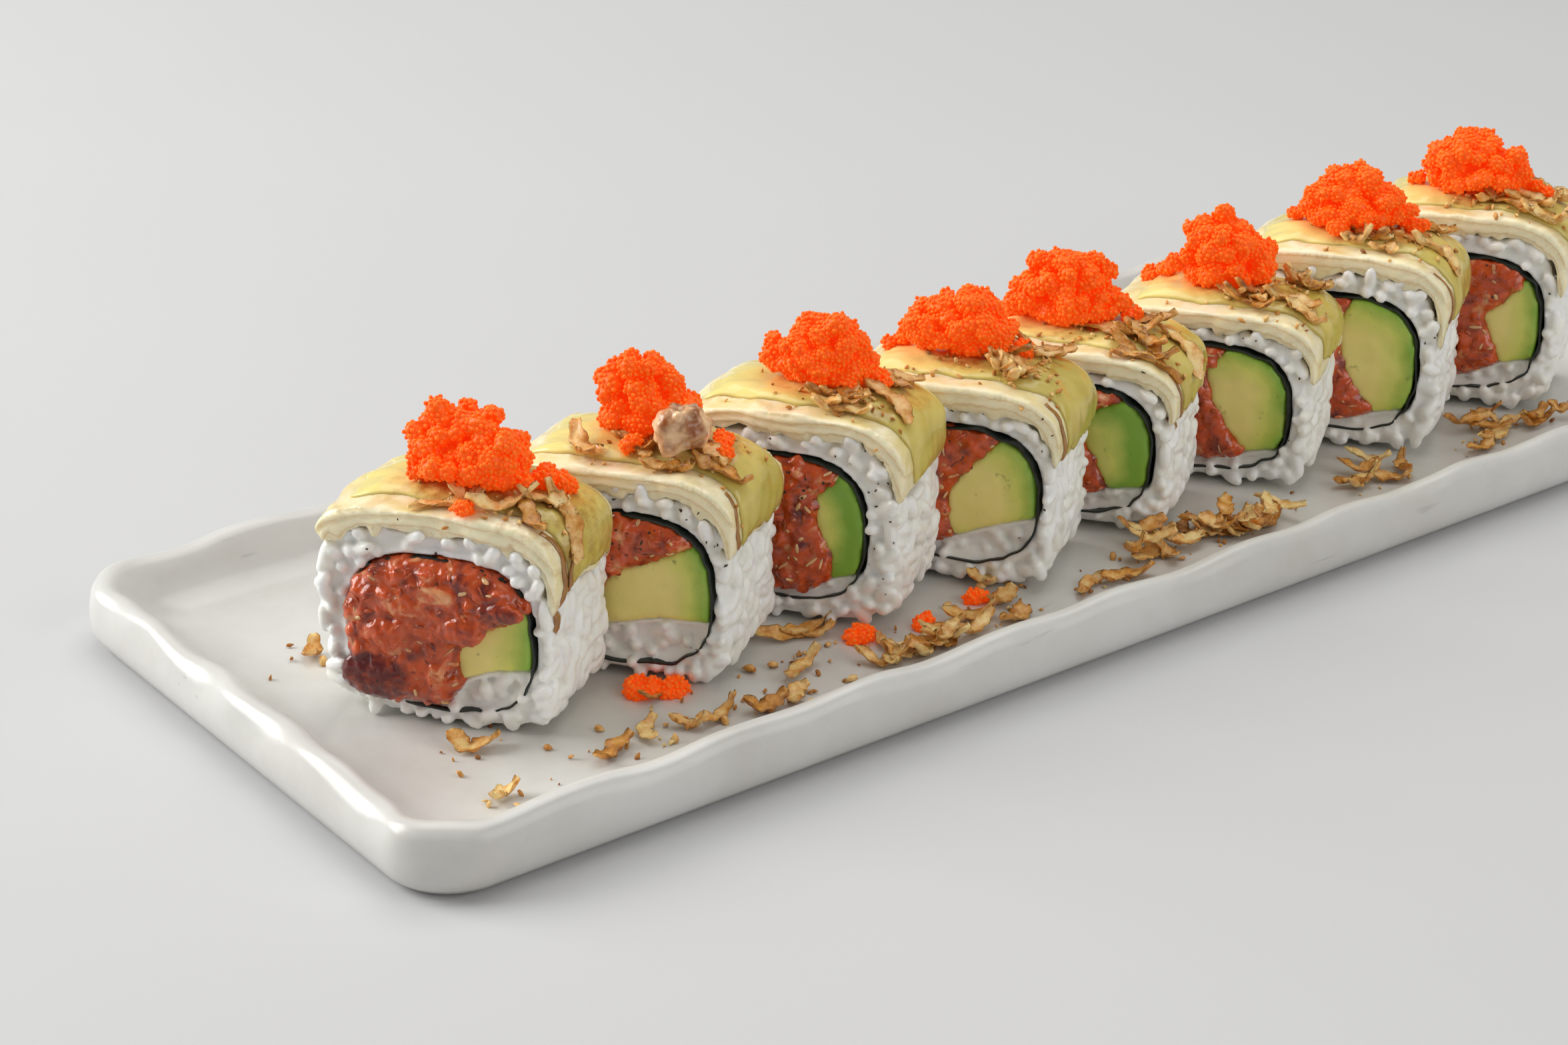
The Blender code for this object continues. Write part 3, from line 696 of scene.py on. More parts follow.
# How far in the green reaches from the peel, and how much greener the unripe sticks are, by slice
GREEN_DEPTH = 7.5 * MM
UNRIPE = {3: 0.42, 5: 0.5}
for number, name, place in slices():
    stick = carved(f"{name}_avocado_stick", f"{name}_avocado", voxel=0.6 * MM, softening=3)
    swollen(stick, 0.35 * MM)
    dented(stick, width=5 * MM, height=0.5 * MM)
    wrap = surface_of(f"{name}_nori")
    unripe = UNRIPE.get(number, 0)
    depths = [wrap.find_nearest(vertex.co)[3] for vertex in stick.data.vertices]
    marked(stick, "green", [1 + unripe - min(1, depth / GREEN_DEPTH) for depth in depths])
    dress(stick, ripe, "avocado", f"{name}_avocado")

# The fish: a thick raw slice of white fish laid over each slice of roll and seared with a torch,
# so that its top is dry, golden and scorched in places while its cut edge stays clear and wet.

# Seared white fish: cream flesh with fine fibres, a warm yellow top, brown where the flame touched
seared = finish_called("seared_white_fish", Roughness=0.3, IOR=1.42, Subsurface_Weight=0.5,
                       Subsurface_Scale=2.0 * MM, Subsurface_Radius=(1.0, 0.75, 0.5), Coat_Weight=0.35,
                       Coat_Roughness=0.15)
top_side = add(seared, "Attribute", attribute_name="top").outputs["Fac"]
sauced = add(seared, "Attribute", attribute_name="sauce").outputs["Fac"]
where = add(seared, "TexCoord").outputs["Object"]
along_roll = {"Rotation": (0, 0, -ROLL_TURN), "Scale": (120, 900, 900)}
turned = add(seared, "Mapping", {"Vector": where, **along_roll})
grainy = add(seared, "TexNoise", {"Vector": turned, "Scale": 1, "Detail": 3})
broad = add(seared, "TexNoise", {"Vector": where, "Scale": 130, "Detail": 4})
warm = add(seared, "MapRange", {"Value": broad, "From Min": 0.38, "From Max": 0.62})
golden = add(seared, "Math", {0: warm, 1: top_side}, operation="MULTIPLY")
flesh = add(seared, "Mix", {0: grainy, 6: colour("#FFF4D6"), 7: colour("#FDE9BE")}, data_type="RGBA")
yellow = add(seared, "Mix", {0: golden, 6: flesh, 7: colour("#EBD892")}, data_type="RGBA")
stain = add(seared, "TexNoise", {"Vector": where, "Scale": 210, "Detail": 5, "Roughness": 0.65})
stained = add(seared, "Math", {0: stain, 1: sauced}, operation="MULTIPLY")
browned = add(seared, "MapRange", {"Value": stained, "From Min": 0.40, "From Max": 0.60, "To Max": 0.85})
scorched = add(seared, "Mix", {0: browned, 6: yellow, 7: colour("#A86E28")}, data_type="RGBA")
layer = add(seared, "Attribute", attribute_name="layer").outputs["Fac"]
wander = add(seared, "Math", {0: grainy, 1: 0.5, 2: layer}, operation="MULTIPLY_ADD")
fold = add(seared, "Math", {0: wander, 1: 0.5}, operation="PINGPONG")
seam = add(seared, "MapRange", {"Value": fold, "From Min": 0.0, "From Max": 0.16,
                                "To Min": 0.6, "To Max": 0.0})
layered = add(seared, "Mix", {0: seam, 6: scorched, 7: colour("#DCC088")}, data_type="RGBA")
fibres = add(seared, "Bump", {"Height": grainy, "Strength": 0.35, "Distance": 0.4 * MM})
feed(seared, Base_Color=layered, Normal=fibres)

# How far sauce has spread from the roe, the layers of flesh, and how far the edge hangs down
SAUCE_SPREAD = 22 * MM
LAYER_THICKNESS = 1.55 * MM
LAYER_RELIEF = 0.45 * MM
RAGGED_DROOP = 1.7 * MM
TONGUE_DROOP = 4 * MM


def sauce_at(number, points):
    """How much sauce has run over each point, most round the roe and down the right side."""
    back = slice_frame(number).inverted()
    low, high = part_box(f"slice{number}_roe")
    heap = back @ ((low + high) / 2)
    most = 1.35 if number == 1 else 1.15
    amounts = []
    for point in points:
        local = back @ point
        away = math.hypot(local.x - heap.x - 3 * MM, (local.y - heap.y) * 1.2)
        on_the_side = 0.3 * min(1, max(0, local.x / (9 * MM) - 1))
        amounts.append(max(0.25, most - away / SAUCE_SPREAD) + on_the_side)
    return amounts


fish_pieces = {}
for number, name, place in slices():
    draped = carved(f"{name}_fish_slice", f"{name}_fish", voxel=fine(number, 0.5, 0.7), softening=5)
    back = place.inverted()
    rice_skin = surface_of(f"{name}_rice")
    count = len(draped.data.vertices)
    points, ways = np.empty(count * 3), np.empty(count * 3)
    draped.data.vertices.foreach_get("co", points)
    draped.data.vertices.foreach_get("normal", ways)
    layers, moved = [], []
    # The edge hangs ragged over the rice in tongues, and the layers of flesh stand out on the cut
    for point, way in zip(points.reshape(-1, 3), ways.reshape(-1, 3)):
        point, way = Vector(point), Vector(way)
        local = back @ point
        layer = rice_skin.find_nearest(point)[3] / LAYER_THICKNESS + 0.5 * noise.noise(point / (9 * MM))
        layers.append(layer)
        under = max(0, -way.z)
        near = min(1, max(0, (abs(local.y) - SLICE_DEPTH / 2 + 3.5 * MM) / (3 * MM)))
        ragged = 0.5 + noise.noise(Vector((local.x / (4.2 * MM), number * 5.1, local.y / (20 * MM))))
        tongue = max(0, noise.noise(Vector((local.x / (2.4 * MM), number * 9.7, 2.5))) - 0.1)
        point.z -= under * near * (ragged * RAGGED_DROOP + tongue * TONGUE_DROOP)
        facing = max(0, abs(way.dot(FACE_OUT)) - 0.4)
        moved.append(point + way * facing * LAYER_RELIEF * math.cos(2 * math.pi * layer))
    draped.data.vertices.foreach_set("co", np.array(moved).ravel())
    marked(draped, "layer", layers)
    dented(draped, width=8 * MM, height=1.3 * MM)
    dented(draped, width=2.2 * MM, height=0.4 * MM)
    normals = [vertex.normal.copy() for vertex in draped.data.vertices]
    marked(draped, "top", [max(0, 1 - max(0, normal.dot(FACE_OUT)) * 1.6) * (normal.z > -0.1)
                           for normal in normals])
    marked(draped, "sauce", sauce_at(number, [vertex.co for vertex in draped.data.vertices]))
    dress(draped, seared, "fish", f"{name}_fish")
    fish_pieces[number] = draped

# The thin slice of avocado over the fish at the upper right of each slice of roll: shaved with a
# knife, limp, and glazed with sweet soy sauce that has dried brown in streaks.

# Shaved avocado under sauce: yellow-green and shiny, stained brown where the sauce ran, and painted darker
# towards its right edge as painted shade
shaved = finish_called("shaved_avocado", Roughness=0.26, IOR=1.42, Subsurface_Weight=0.4,
                       Subsurface_Scale=1.4 * MM, Subsurface_Radius=(1.0, 0.85, 0.4), Coat_Weight=0.5,
                       Coat_Roughness=0.1)
sauced = add(shaved, "Attribute", attribute_name="sauce").outputs["Fac"]
where = add(shaved, "TexCoord").outputs["Object"]
painted_shade_side = add(shaved, "Attribute", attribute_name="ripe").outputs["Fac"]
broad = add(shaved, "TexNoise", {"Vector": where, "Scale": 110, "Detail": 3})
drift = add(shaved, "MapRange", {"Value": broad, "From Min": 0.3, "From Max": 0.7,
                                 "To Min": -0.35, "To Max": 0.35})
painted_shade_level = add(shaved, "Math", {0: painted_shade_side, 1: drift}, operation="ADD", use_clamp=True)
# Pale cream at the top left to a darker tone of the same yellow at the right edge, which faces away from the
# window: painted shade, broken by random patches
flesh = add(shaved, "Mix", {0: painted_shade_level, 6: colour("#FAE48E"), 7: colour("#CDB858")}, data_type="RGBA")
stain = add(shaved, "TexNoise", {"Vector": where, "Scale": 240, "Detail": 5, "Roughness": 0.65})
stained = add(shaved, "Math", {0: stain, 1: sauced}, operation="MULTIPLY")
browned = add(shaved, "MapRange", {"Value": stained, "From Min": 0.34, "From Max": 0.58, "To Max": 0.85})
glazed = add(shaved, "Mix", {0: browned, 6: flesh, 7: colour("#A1691F")}, data_type="RGBA")
ripple = add(shaved, "Bump", {"Height": stain, "Strength": 0.3, "Distance": 0.4 * MM})
feed(shaved, Base_Color=glazed, Normal=ripple)

SHAVING_COLUMNS = 64
SHAVING_ROWS = 40
SHAVING_THICKNESS = 0.9 * MM
# From where to where it covers the fish: degrees up from the right about a line at that height
# in the slice, and depth in the slice
SHAVING_ANGLES = (24, 125)
SHAVING_AXIS = 16 * MM
SHAVING_DEPTHS = (-7.9 * MM, 10.8 * MM)

sheet_pieces = {}
for number, name, place in slices():
    under = surface_of(fish_pieces[number])
    rows, painted_shade_level, hit = [], [], place @ Vector((20 * MM, 0, 30 * MM))
    # Each corner is dropped on the fish from outside, and one that misses takes its neighbour's place
    for row in range(SHAVING_ROWS + 1):
        points = []
        for column in range(SHAVING_COLUMNS + 1):
            across, along = column / SHAVING_COLUMNS, row / SHAVING_ROWS
            uneven = noise.noise(Vector((across * 7, number * 4.3, along * 0.4)))
            front = SHAVING_DEPTHS[0] + uneven * 1.3 * MM
            depth = front + (SHAVING_DEPTHS[1] - front) * along
            uneven = noise.noise(Vector((along * 6, number * 6.1, across * 0.4)))
            first, last = SHAVING_ANGLES[0] + uneven * 5, SHAVING_ANGLES[1] + uneven * 3
            angle = math.radians(first + (last - first) * across)
            centre = place @ Vector((0, depth, SHAVING_AXIS))
            aim = place @ Vector((math.cos(angle), depth, SHAVING_AXIS + math.sin(angle)))
            way = (aim - centre).normalized()
            hit = under.ray_cast(centre + way * 60 * MM, -way)[0] or hit
            edge = min(1, 9 * min(across, 1 - across, along, 1 - along))
            ripple = noise.noise(Vector((across * 9, along * 4, number * 2.7))) * 0.35 * MM
            points.append(hit + way * (SHAVING_THICKNESS * edge ** 0.6 + ripple * edge - 0.3 * MM))
            # The ripe attribute holds the painted shade at each corner, full at the right edge and none at the
            # top left
            painted_shade_level.append(1 - across)
        rows.append(points)
    limp = grid_through(f"{name}_avocado_shaving", rows)
    marked(limp, "ripe", painted_shade_level)
    worked(limp, "SMOOTH", factor=0.5, iterations=2)
    worked(limp, "SOLIDIFY", thickness=0.5 * MM, offset=-1)
    bpy.ops.object.shade_smooth()
    marked(limp, "sauce", sauce_at(number, [vertex.co for vertex in limp.data.vertices]))
    dress(limp, shaved, "avocado_slice", f"{name}_avocado_slice")
    sheet_pieces[number] = limp

# The roe: salted flying-fish eggs, dyed orange, dropped on each slice with the tip of a spoon.
# They cling to each other in a loose knobbly heap of single eggs, each under a millimetre wide.

EGG = 0.9 * MM
EGG_SPACING = 0.74 * MM
KNOB_SPACING = 2.7 * MM
KNOB_SIZES = (2.6 * MM, 4.6 * MM)
# How far the heap's own core lies under its knobs, and how far its top stays below the tallest solid
CORE_SUNK = 1.7 * MM
TOP_MARGIN = 0.3 * MM
ROE_VOXEL = 0.42 * MM

# Flying-fish eggs: clear bright orange skins that glow where light passes through them, with a wet highlight
# on every egg, and a faint orange emission that paints on more glow
# The emission is painted glow: the eggs give off a little orange light of their own
eggs_finish = finish_called("flying_fish_roe", Roughness=0.34, IOR=1.33, Subsurface_Weight=0.5,
                            Subsurface_Scale=1.2 * MM, Subsurface_Radius=(1.0, 0.30, 0.06),
                            Emission_Color=colour("#FF5606"), Emission_Strength=0.16)
tint = add(eggs_finish, "Attribute", attribute_name="tint").outputs["Fac"]
where = add(eggs_finish, "TexCoord").outputs["Object"]
broad = add(eggs_finish, "TexNoise", {"Vector": where, "Scale": 300, "Detail": 2})
both = add(eggs_finish, "Math", {0: tint, 1: broad}, operation="MULTIPLY")
egg_tone = add(eggs_finish, "Mix", {0: both, 6: colour("#FF6A12"), 7: colour("#FF9430")}, data_type="RGBA")
feed(eggs_finish, Base_Color=egg_tone)

# One egg
egg_shape = pebble(6, 4)


def eggs_over(name, core, tries):
    """Single eggs all over a core, seated half deep."""
    placed = []
    for spot, out in places_on(core, EGG_SPACING, tries):
        size = EGG * chance.uniform(0.9, 1.12)
        side = Matrix.Rotation(chance.uniform(0, math.pi), 3, out) @ out.orthogonal()
        placed.append(lying(spot + out * chance.uniform(-0.15, 0.25) * MM, side, out, (size, size, size)))
    return joined(name, egg_shape, placed, chance.random(len(placed)))


# One knob of eggs
knob_shape = pebble(12, 8)


def knobbly(name, base):
    """Turns a piece into a heap of round knobs with gaps between them."""
    placed = []
    for spot, out in places_on(base, KNOB_SPACING, tries=900):
        side = Matrix.Rotation(chance.uniform(0, math.pi), 3, out) @ out.orthogonal()
        across = [chance.uniform(*KNOB_SIZES) for _ in range(3)]
        placed.append(lying(spot + out * chance.uniform(-1.4, 0.5) * MM, side, out, across))
    knobs = joined(f"{name}_knobs", knob_shape, placed, [0] * len(placed))
    swollen(base, -CORE_SUNK)
    heap = one_piece(name, base, knobs)
    worked(heap, "REMESH", mode="VOXEL", voxel_size=ROE_VOXEL)
    return heap


DOWN = Vector((0, 0, -1))
DROP_HEIGHT = 70 * MM


def landing(target, place, across, depth):
    """Where a thing that falls on a slice lands on the target, and the way out there."""
    return target.ray_cast(place @ Vector((across, depth, DROP_HEIGHT)), DOWN)


# Bits of the heaps that lie apart from them: slice, across, depth in and size in mm
BESIDE = [
    (1, 15.2, 2.2, 4.2), (1, 18.4, 3.6, 3.6), (1, 12.6, -0.5, 3.2), (1, 16.8, 5.6, 2.8), (1, 6.3, -11.6, 3.0),
    (1, 6.0, -10.6, 2.4), (2, 16.4, 1.5, 3.2), (2, 17.8, -1.5, 2.4), (2, 1.5, -5.6, 3.4), (3, 12.2, 4.0, 3.6),
    (3, 14.2, 2.5, 2.6), (4, -12.5, 3.0, 3.0), (4, 11.0, 4.5, 3.4), (6, -12.4, 3.2, 3.6), (6, -16.0, 4.4, 3.0),
    (4, -15.0, 2.0, 2.6), (5, -12.6, 2.0, 4.4), (5, -15.8, 2.6, 3.2), (5, 9.5, 3.6, 3.8), (7, 13.4, 2.6, 3.8),
    (7, -11.8, 2.0, 3.6), (7, 11.2, 3.4, 3.4), (8, 12.6, 2.4, 3.6), (8, -12.0, 1.0, 3.2), (8, 15.4, 1.2, 2.8),
]
for number, name, place in slices():
    dome = carved(f"{name}_roe_core", f"{name}_roe", voxel=0.6 * MM, softening=3)
    dented(dome, width=7 * MM, height=6 * MM)
    swollen(dome, -0.8 * MM)
    core = knobbly(f"{name}_roe_core", dome)
    members = [core, eggs_over(f"{name}_eggs", core, 9000)]
    toppings = surface_of(fish_pieces[number], sheet_pieces[number])
    for across, depth, size in [bit[1:] for bit in BESIDE if bit[0] == number]:
        hit = landing(toppings, place, across * MM, depth * MM)[0]
        if not hit:
            continue
        placed = []
        for turn in range(3):
            angle = turn * 2.1 + across
            aside = Vector((math.cos(angle), math.sin(angle), 0.45 * turn)) * size * 0.26 * MM
            centre = hit + aside + Vector((0, 0, size * 0.26 * MM))
            placed.append(lying(centre, FACE_ACROSS, UP,
                                [size * chance.uniform(0.6, 0.9) * MM for _ in range(3)]))
        bit = joined(f"{name}_bit", knob_shape, placed, [0] * len(placed))
        worked(bit, "REMESH", mode="VOXEL", voxel_size=ROE_VOXEL)
        members += [bit, eggs_over(f"{name}_bit_eggs", bit, 500)]
    heap = one_piece(f"{name}_roe_heap", *members)
    # The heap is pressed down until it is no taller than the tallest solid
    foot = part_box(f"{name}_roe")[0].z
    top = max(vertex.co.z for vertex in heap.data.vertices)
    press = min(1, (cad_box[1].z - TOP_MARGIN - foot) / (top - foot))
    down, up = Matrix.Translation((0, 0, -foot)), Matrix.Translation((0, 0, foot))
    heap.data.transform(up @ Matrix.Diagonal((1, 1, press, 1)) @ down)
    dress(heap, eggs_finish, "roe", f"{name}_roe")

# The morsel beside the second slice's roe: a small lump of fish that was fried by itself, crisp and
# brown outside and clear inside, then laid on top by hand.

morsel = carved("slice2_fried_morsel", "slice2_morsel", voxel=0.4 * MM, softening=4)
swollen(morsel, 0.7 * MM)
dented(morsel, width=4.5 * MM, height=4.2 * MM)
dented(morsel, width=1.4 * MM, height=0.9 * MM)
# Fried fish: brown crust in patches over pale wet flesh, with small blisters
fried = finish_called("fried_fish_morsel", Roughness=0.25, IOR=1.42, Subsurface_Weight=0.5,
                      Subsurface_Scale=1.6 * MM, Subsurface_Radius=(1.0, 0.6, 0.35), Coat_Weight=0.5,
                      Coat_Roughness=0.12)
where = add(fried, "TexCoord").outputs["Object"]
patches = add(fried, "TexNoise", {"Vector": where, "Scale": 240, "Detail": 4})
tanned = add(fried, "MapRange", {"Value": patches, "From Min": 0.38, "From Max": 0.62})
crisp = add(fried, "Mix", {0: tanned, 6: colour("#9A5420"), 7: colour("#F2CDA0")}, data_type="RGBA")
blisters = add(fried, "Bump", {"Height": patches, "Strength": 0.5, "Distance": 0.5 * MM})
feed(fried, Base_Color=crisp, Normal=blisters)
dress(morsel, fried, "morsel", "slice2_morsel")

# The fried shallot: thin rings of shallot fried until crisp, which broke into curled brown
# strips. They lie on each slice beside the roe and all along the near side of the dish.

STRIP_STATIONS = 18
STRIP_SIDES = 10
STRIPS_A_SLICE = 9
STRIP_TWIST = 1.6

# Shallot fried crisp: clear gold in the middle, brown along its edges, blistered and oily
crisped = finish_called("fried_shallot", Roughness=0.34, IOR=1.45, Subsurface_Weight=0.3,
                        Subsurface_Scale=0.7 * MM, Subsurface_Radius=(1.0, 0.6, 0.3), Coat_Weight=0.3,
                        Coat_Roughness=0.18)
tint = add(crisped, "Attribute", attribute_name="tint").outputs["Fac"]
where = add(crisped, "TexCoord").outputs["Object"]
patchy = add(crisped, "TexNoise", {"Vector": where, "Scale": 420, "Detail": 5, "Roughness": 0.65})
spread = add(crisped, "MapRange", {"Value": patchy, "From Min": 0.32, "From Max": 0.68,
                                   "To Min": -0.35, "To Max": 0.35})
level = add(crisped, "Math", {0: spread, 1: tint}, operation="ADD")
golden = add(crisped, "MapRange", {"Value": level, "From Min": 0.0, "From Max": 0.55})
blond = add(crisped, "MapRange", {"Value": level, "From Min": 0.5, "From Max": 1.15})
brown = add(crisped, "Mix", {0: golden, 6: colour("#8A4E16"), 7: colour("#D9943A")}, data_type="RGBA")
gold = add(crisped, "Mix", {0: blond, 6: brown, 7: colour("#FFDF9A")}, data_type="RGBA")
blistered = add(crisped, "Bump", {"Height": patchy, "Strength": 0.8, "Distance": 0.6 * MM})
feed(crisped, Base_Color=gold, Normal=blistered)


def strip_through(path, width, thickness, twist):
    """Rings of a flat curled strip that follows a path of at least three points."""
    rings = []
    count = len(path)
    for index, point in enumerate(path):
        ahead = (path[min(count - 1, index + 1)] - path[max(0, index - 1)]).normalized()
        side = ahead.cross(UP).normalized()
        share = index / (count - 1)
        side = Matrix.Rotation(twist * (share - 0.5), 3, ahead) @ side
        up = side.cross(ahead)
        slim = (1 - abs(2 * share - 1) ** 3 * 0.6) * (1 + 0.16 * math.sin(index * 1.7 + width * 9000))
        ring = []
        for turn in range(STRIP_SIDES):
            angle = 2 * math.pi * turn / STRIP_SIDES
            rim = abs(math.cos(angle))
            cup = 1.1 * thickness * rim ** 2 * (0.6 + 0.4 * math.sin(index * 0.9 + turn))
            thin = 1 - 0.45 * rim
            ring.append(point + side * math.cos(angle) * width / 2 * slim
                        + up * (math.sin(angle) * thickness / 2 * slim * thin + cup))
        rings.append(ring)
    return rings


def curled_path(start, end, lift, sway, seed):
    """A wandering path from start to end, its ends lifted and its middle low."""
    path = []
    across = (end - start).cross(UP).normalized()
    for station in range(STRIP_STATIONS):
        share = station / (STRIP_STATIONS - 1)
        point = start.lerp(end, share)
        point += across * sway * math.sin(share * 4.2 + seed)
        point.z += lift * abs(2 * share - 1) ** 2 + 0.25 * MM * math.sin(share * 11 + seed)
        path.append(point)
    return path


def strip_along(path, widths, thicknesses, tones):
    """A strip that follows a path and its tone, each size in mm drawn from its range."""
    width, thickness = chance.uniform(*widths) * MM, chance.uniform(*thicknesses) * MM
    rings = strip_through(path, width, thickness, chance.uniform(-STRIP_TWIST, STRIP_TWIST))
    return rings, chance.uniform(*tones)


def strips_piece(name, strips):
    """All the strips as one piece, each with its own tone."""
    made = []
    for index, (rings, tone) in enumerate(strips):
        piece = wrapped(f"{name}_{index}", rings)
        corners = np.array(rings)
        middles = corners.mean(axis=1)
        tones = []
        for vertex in piece.data.vertices:
            nearest = np.linalg.norm(middles - np.array(vertex.co), axis=1)
            station = int(nearest.argmin())
            breadth = np.linalg.norm(corners[station] - middles[station], axis=1).max()
            tones.append(tone + 0.3 - 0.42 * (nearest[station] / breadth) ** 3)
        marked(piece, "tint", tones)
        made.append(piece)
    return one_piece(name, *made)


# Where strips lie on the dish, as on the solids: along and across it, length and turn in degrees
ROW_CORNER = Vector((-170 * MM, -64.2 * MM, 0))
FALLEN = [
    (29.8, 37.0, 9, -50), (47.8, 20.2, 11, 10), (57.3, 22.0, 8, 60), (63.6, 19.9, 7, -30),
    (70.0, 20.0, 12, 20), (79.0, 17.4, 9, -20), (86.1, 17.0, 8, 15), (92.0, 24.0, 13, 28),
    (102.3, 35.3, 10, -6), (106.5, 19.0, 10, -35), (115.0, 17.0, 9, 25), (111.5, 22.0, 8, 80),
    (123.0, 20.8, 12, 15), (131.0, 22.5, 11, -15), (137.9, 17.8, 8, 20), (140.5, 24.5, 8, 0),
    (157.7, 18.2, 10, 14), (165.9, 17.0, 12, -5), (176.0, 22.0, 12, 30), (179.0, 20.0, 9, 75),
    (193.4, 22.5, 11, 10), (198.1, 19.0, 12, -25), (204.3, 17.6, 9, 30), (208.5, 23.0, 8, 65),
    (101.5, 37.8, 18, -10), (66.5, 33.0, 9, -15), (234.7, 20.2, 12, 12), (241.0, 18.0, 8, -20),
    (268.0, 18.6, 10, 30), (275.5, 21.0, 13, 8), (286.5, 19.0, 9, -25), (24.1, 18.0, 6, 15),
    (24.3, 84.0, 6, 70), (312.0, 19.0, 8, 20),
]
# Heaps of strips, along and across the dish, how far they spread and how many they hold
HEAPS = [(109, 19, 8, 4), (119, 17, 8, 6), (146, 32, 6, 6), (186, 24, 12, 10), (200, 19, 10, 9),
         (240, 22, 12, 4), (283, 25, 12, 6)]
lying_strips = [(*strip, 0) for strip in FALLEN]
for along, across, spread, count in HEAPS:
    for index in range(count):
        aside = chance.normal(0, 0.5, 2) * spread
        beside = max(17.5, min(across + aside[1] * 0.4, 33))
        length, turn = chance.uniform(5, 12), chance.uniform(-60, 60)
        lying_strips.append((along + aside[0], beside, length, turn, index * 0.35))
strips = []
for index, (along, across, length, turn, lift) in enumerate(lying_strips):
    middle = ROW_CORNER + Vector((along * MM, across * MM, DISH_FLOOR + (0.7 + lift) * MM))
    way = Vector((math.cos(math.radians(turn)), math.sin(math.radians(turn)), 0)) * length * MM / 2
    raised, sway = chance.uniform(0.6, 3.0) * MM, chance.uniform(0.5, 1.6) * MM
    path = curled_path(middle - way, middle + way, raised, sway, index * 1.3)
    strips.append(strip_along(path, (2.4, 4.2), (0.6, 1.0), (0.2, 0.9)))
fallen = strips_piece("shallot_on_dish", strips)
dress(fallen, crisped, "ceramic", "dish")

# Strips that show one by one: their two ends, across and depth in mm, by slice
SHOWN = {
    1: [(6.5, -10.8, 17.0, -3.4), (17.4, 0.4, 25.5, -8.6), (12.0, -5.5, 21.0, -9.5), (2.0, -8.0, 9.5, -5.5)],
    2: [(-9.5, -3.0, -1.5, -11.6), (5.0, -9.5, 15.0, -10.2), (14.0, -8.0, 24.0, -4.0)],
    5: [(8.0, -6.0, 23.0, -10.5), (16.0, 2.0, 26.0, -4.0)],
}
for number, name, place in slices():
    toppings = surface_of(fish_pieces[number], sheet_pieces[number])
    strips = []
    for index in range(STRIPS_A_SLICE):
        across = chance.uniform(2, 19)
        depth = chance.uniform(-9.5, -2) if index % 3 else chance.uniform(2, 9)
        middle = Vector((across, depth, 0)) * MM
        turn = chance.uniform(-0.7, 0.7)
        length = chance.uniform(6, 14) * MM
        ends = []
        shown = SHOWN.get(number, [])[index:index + 1]
        for side in (-1, 1):
            spot = middle + Vector((math.cos(turn), math.sin(turn), 0)) * side * length / 2
            if shown:
                spot = Vector((*shown[0][side + 1:side + 3], 0)) * MM
            hit = landing(toppings, place, spot.x, spot.y)[0]
            ends.append((hit or place @ Vector((spot.x, spot.y, 30 * MM))) + Vector((0, 0, 0.7 * MM)))
        path = []
        for point in curled_path(*ends, chance.uniform(0.4, 3.2) * MM, 1.1 * MM, index * 2.1):
            hit = toppings.ray_cast(Vector((point.x, point.y, 2 * DROP_HEIGHT)), DOWN)[0]
            if hit:
                point.z = max(point.z, hit.z + 0.5 * MM)
            path.append(point)
        strips.append(strip_along(path, (2.4, 3.8), (0.8, 1.4), (0.15, 0.8)))
    top_strips = strips_piece(f"{name}_shallot", strips)
    dress(top_strips, crisped, "avocado_slice")

# The roe on the dish: small clumps of the same eggs, which fell off the spoon in front of the
# slices and stuck where they landed.

# Each clump: along and across the dish, and its size, in mm
FALLEN_ROE = [(65.0, 36.2, 3.6), (69.5, 32.5, 3.0), (109.0, 28.4, 3.0), (122.1, 25.4, 2.4),
              (137.0, 27.5, 2.2)]
clumps = []
for index, (along, across, size) in enumerate(FALLEN_ROE):
    bpy.ops.object.select_all(action="DESELECT")
    bpy.ops.mesh.primitive_ico_sphere_add(subdivisions=4, radius=1)
    clump = bpy.context.active_object
    clump.name = f"clump{index}"
    spot = ROW_CORNER + Vector((along * MM, across * MM, DISH_FLOOR + 0.9 * MM))
    flattened = Matrix.Diagonal((size * MM, size * 0.8 * MM, size * 0.5 * MM, 1))
    clump.data.transform(Matrix.Translation(spot) @ flattened)
    dented(clump, width=2.6 * MM, height=2.6 * MM)
    clumps += [clump, eggs_over(f"clump_eggs{index}", clump, 900)]
fallen_roe = one_piece("roe_on_dish", *clumps)
dress(fallen_roe, eggs_finish, "roe")

# The sauce: sweet soy glaze, thick as syrup, brushed over the tops. It ran down over the right front
# edge of some slices and set there in drips.

# Sweet soy glaze: clear brown syrup, paler where it is thin, with a mirror gloss
glazing = finish_called("sweet_soy_glaze", Roughness=0.12, IOR=1.45, Subsurface_Weight=0.4,
                        Subsurface_Scale=0.8 * MM, Subsurface_Radius=(1.0, 0.5, 0.2), Coat_Weight=0.8,
                        Coat_Roughness=0.05)
where = add(glazing, "TexCoord").outputs["Object"]
depths = add(glazing, "TexNoise", {"Vector": where, "Scale": 300, "Detail": 3})
syrup = add(glazing, "Mix", {0: depths, 6: colour("#6E3E10"), 7: colour("#C48A3C")}, data_type="RGBA")
feed(glazing, Base_Color=syrup)
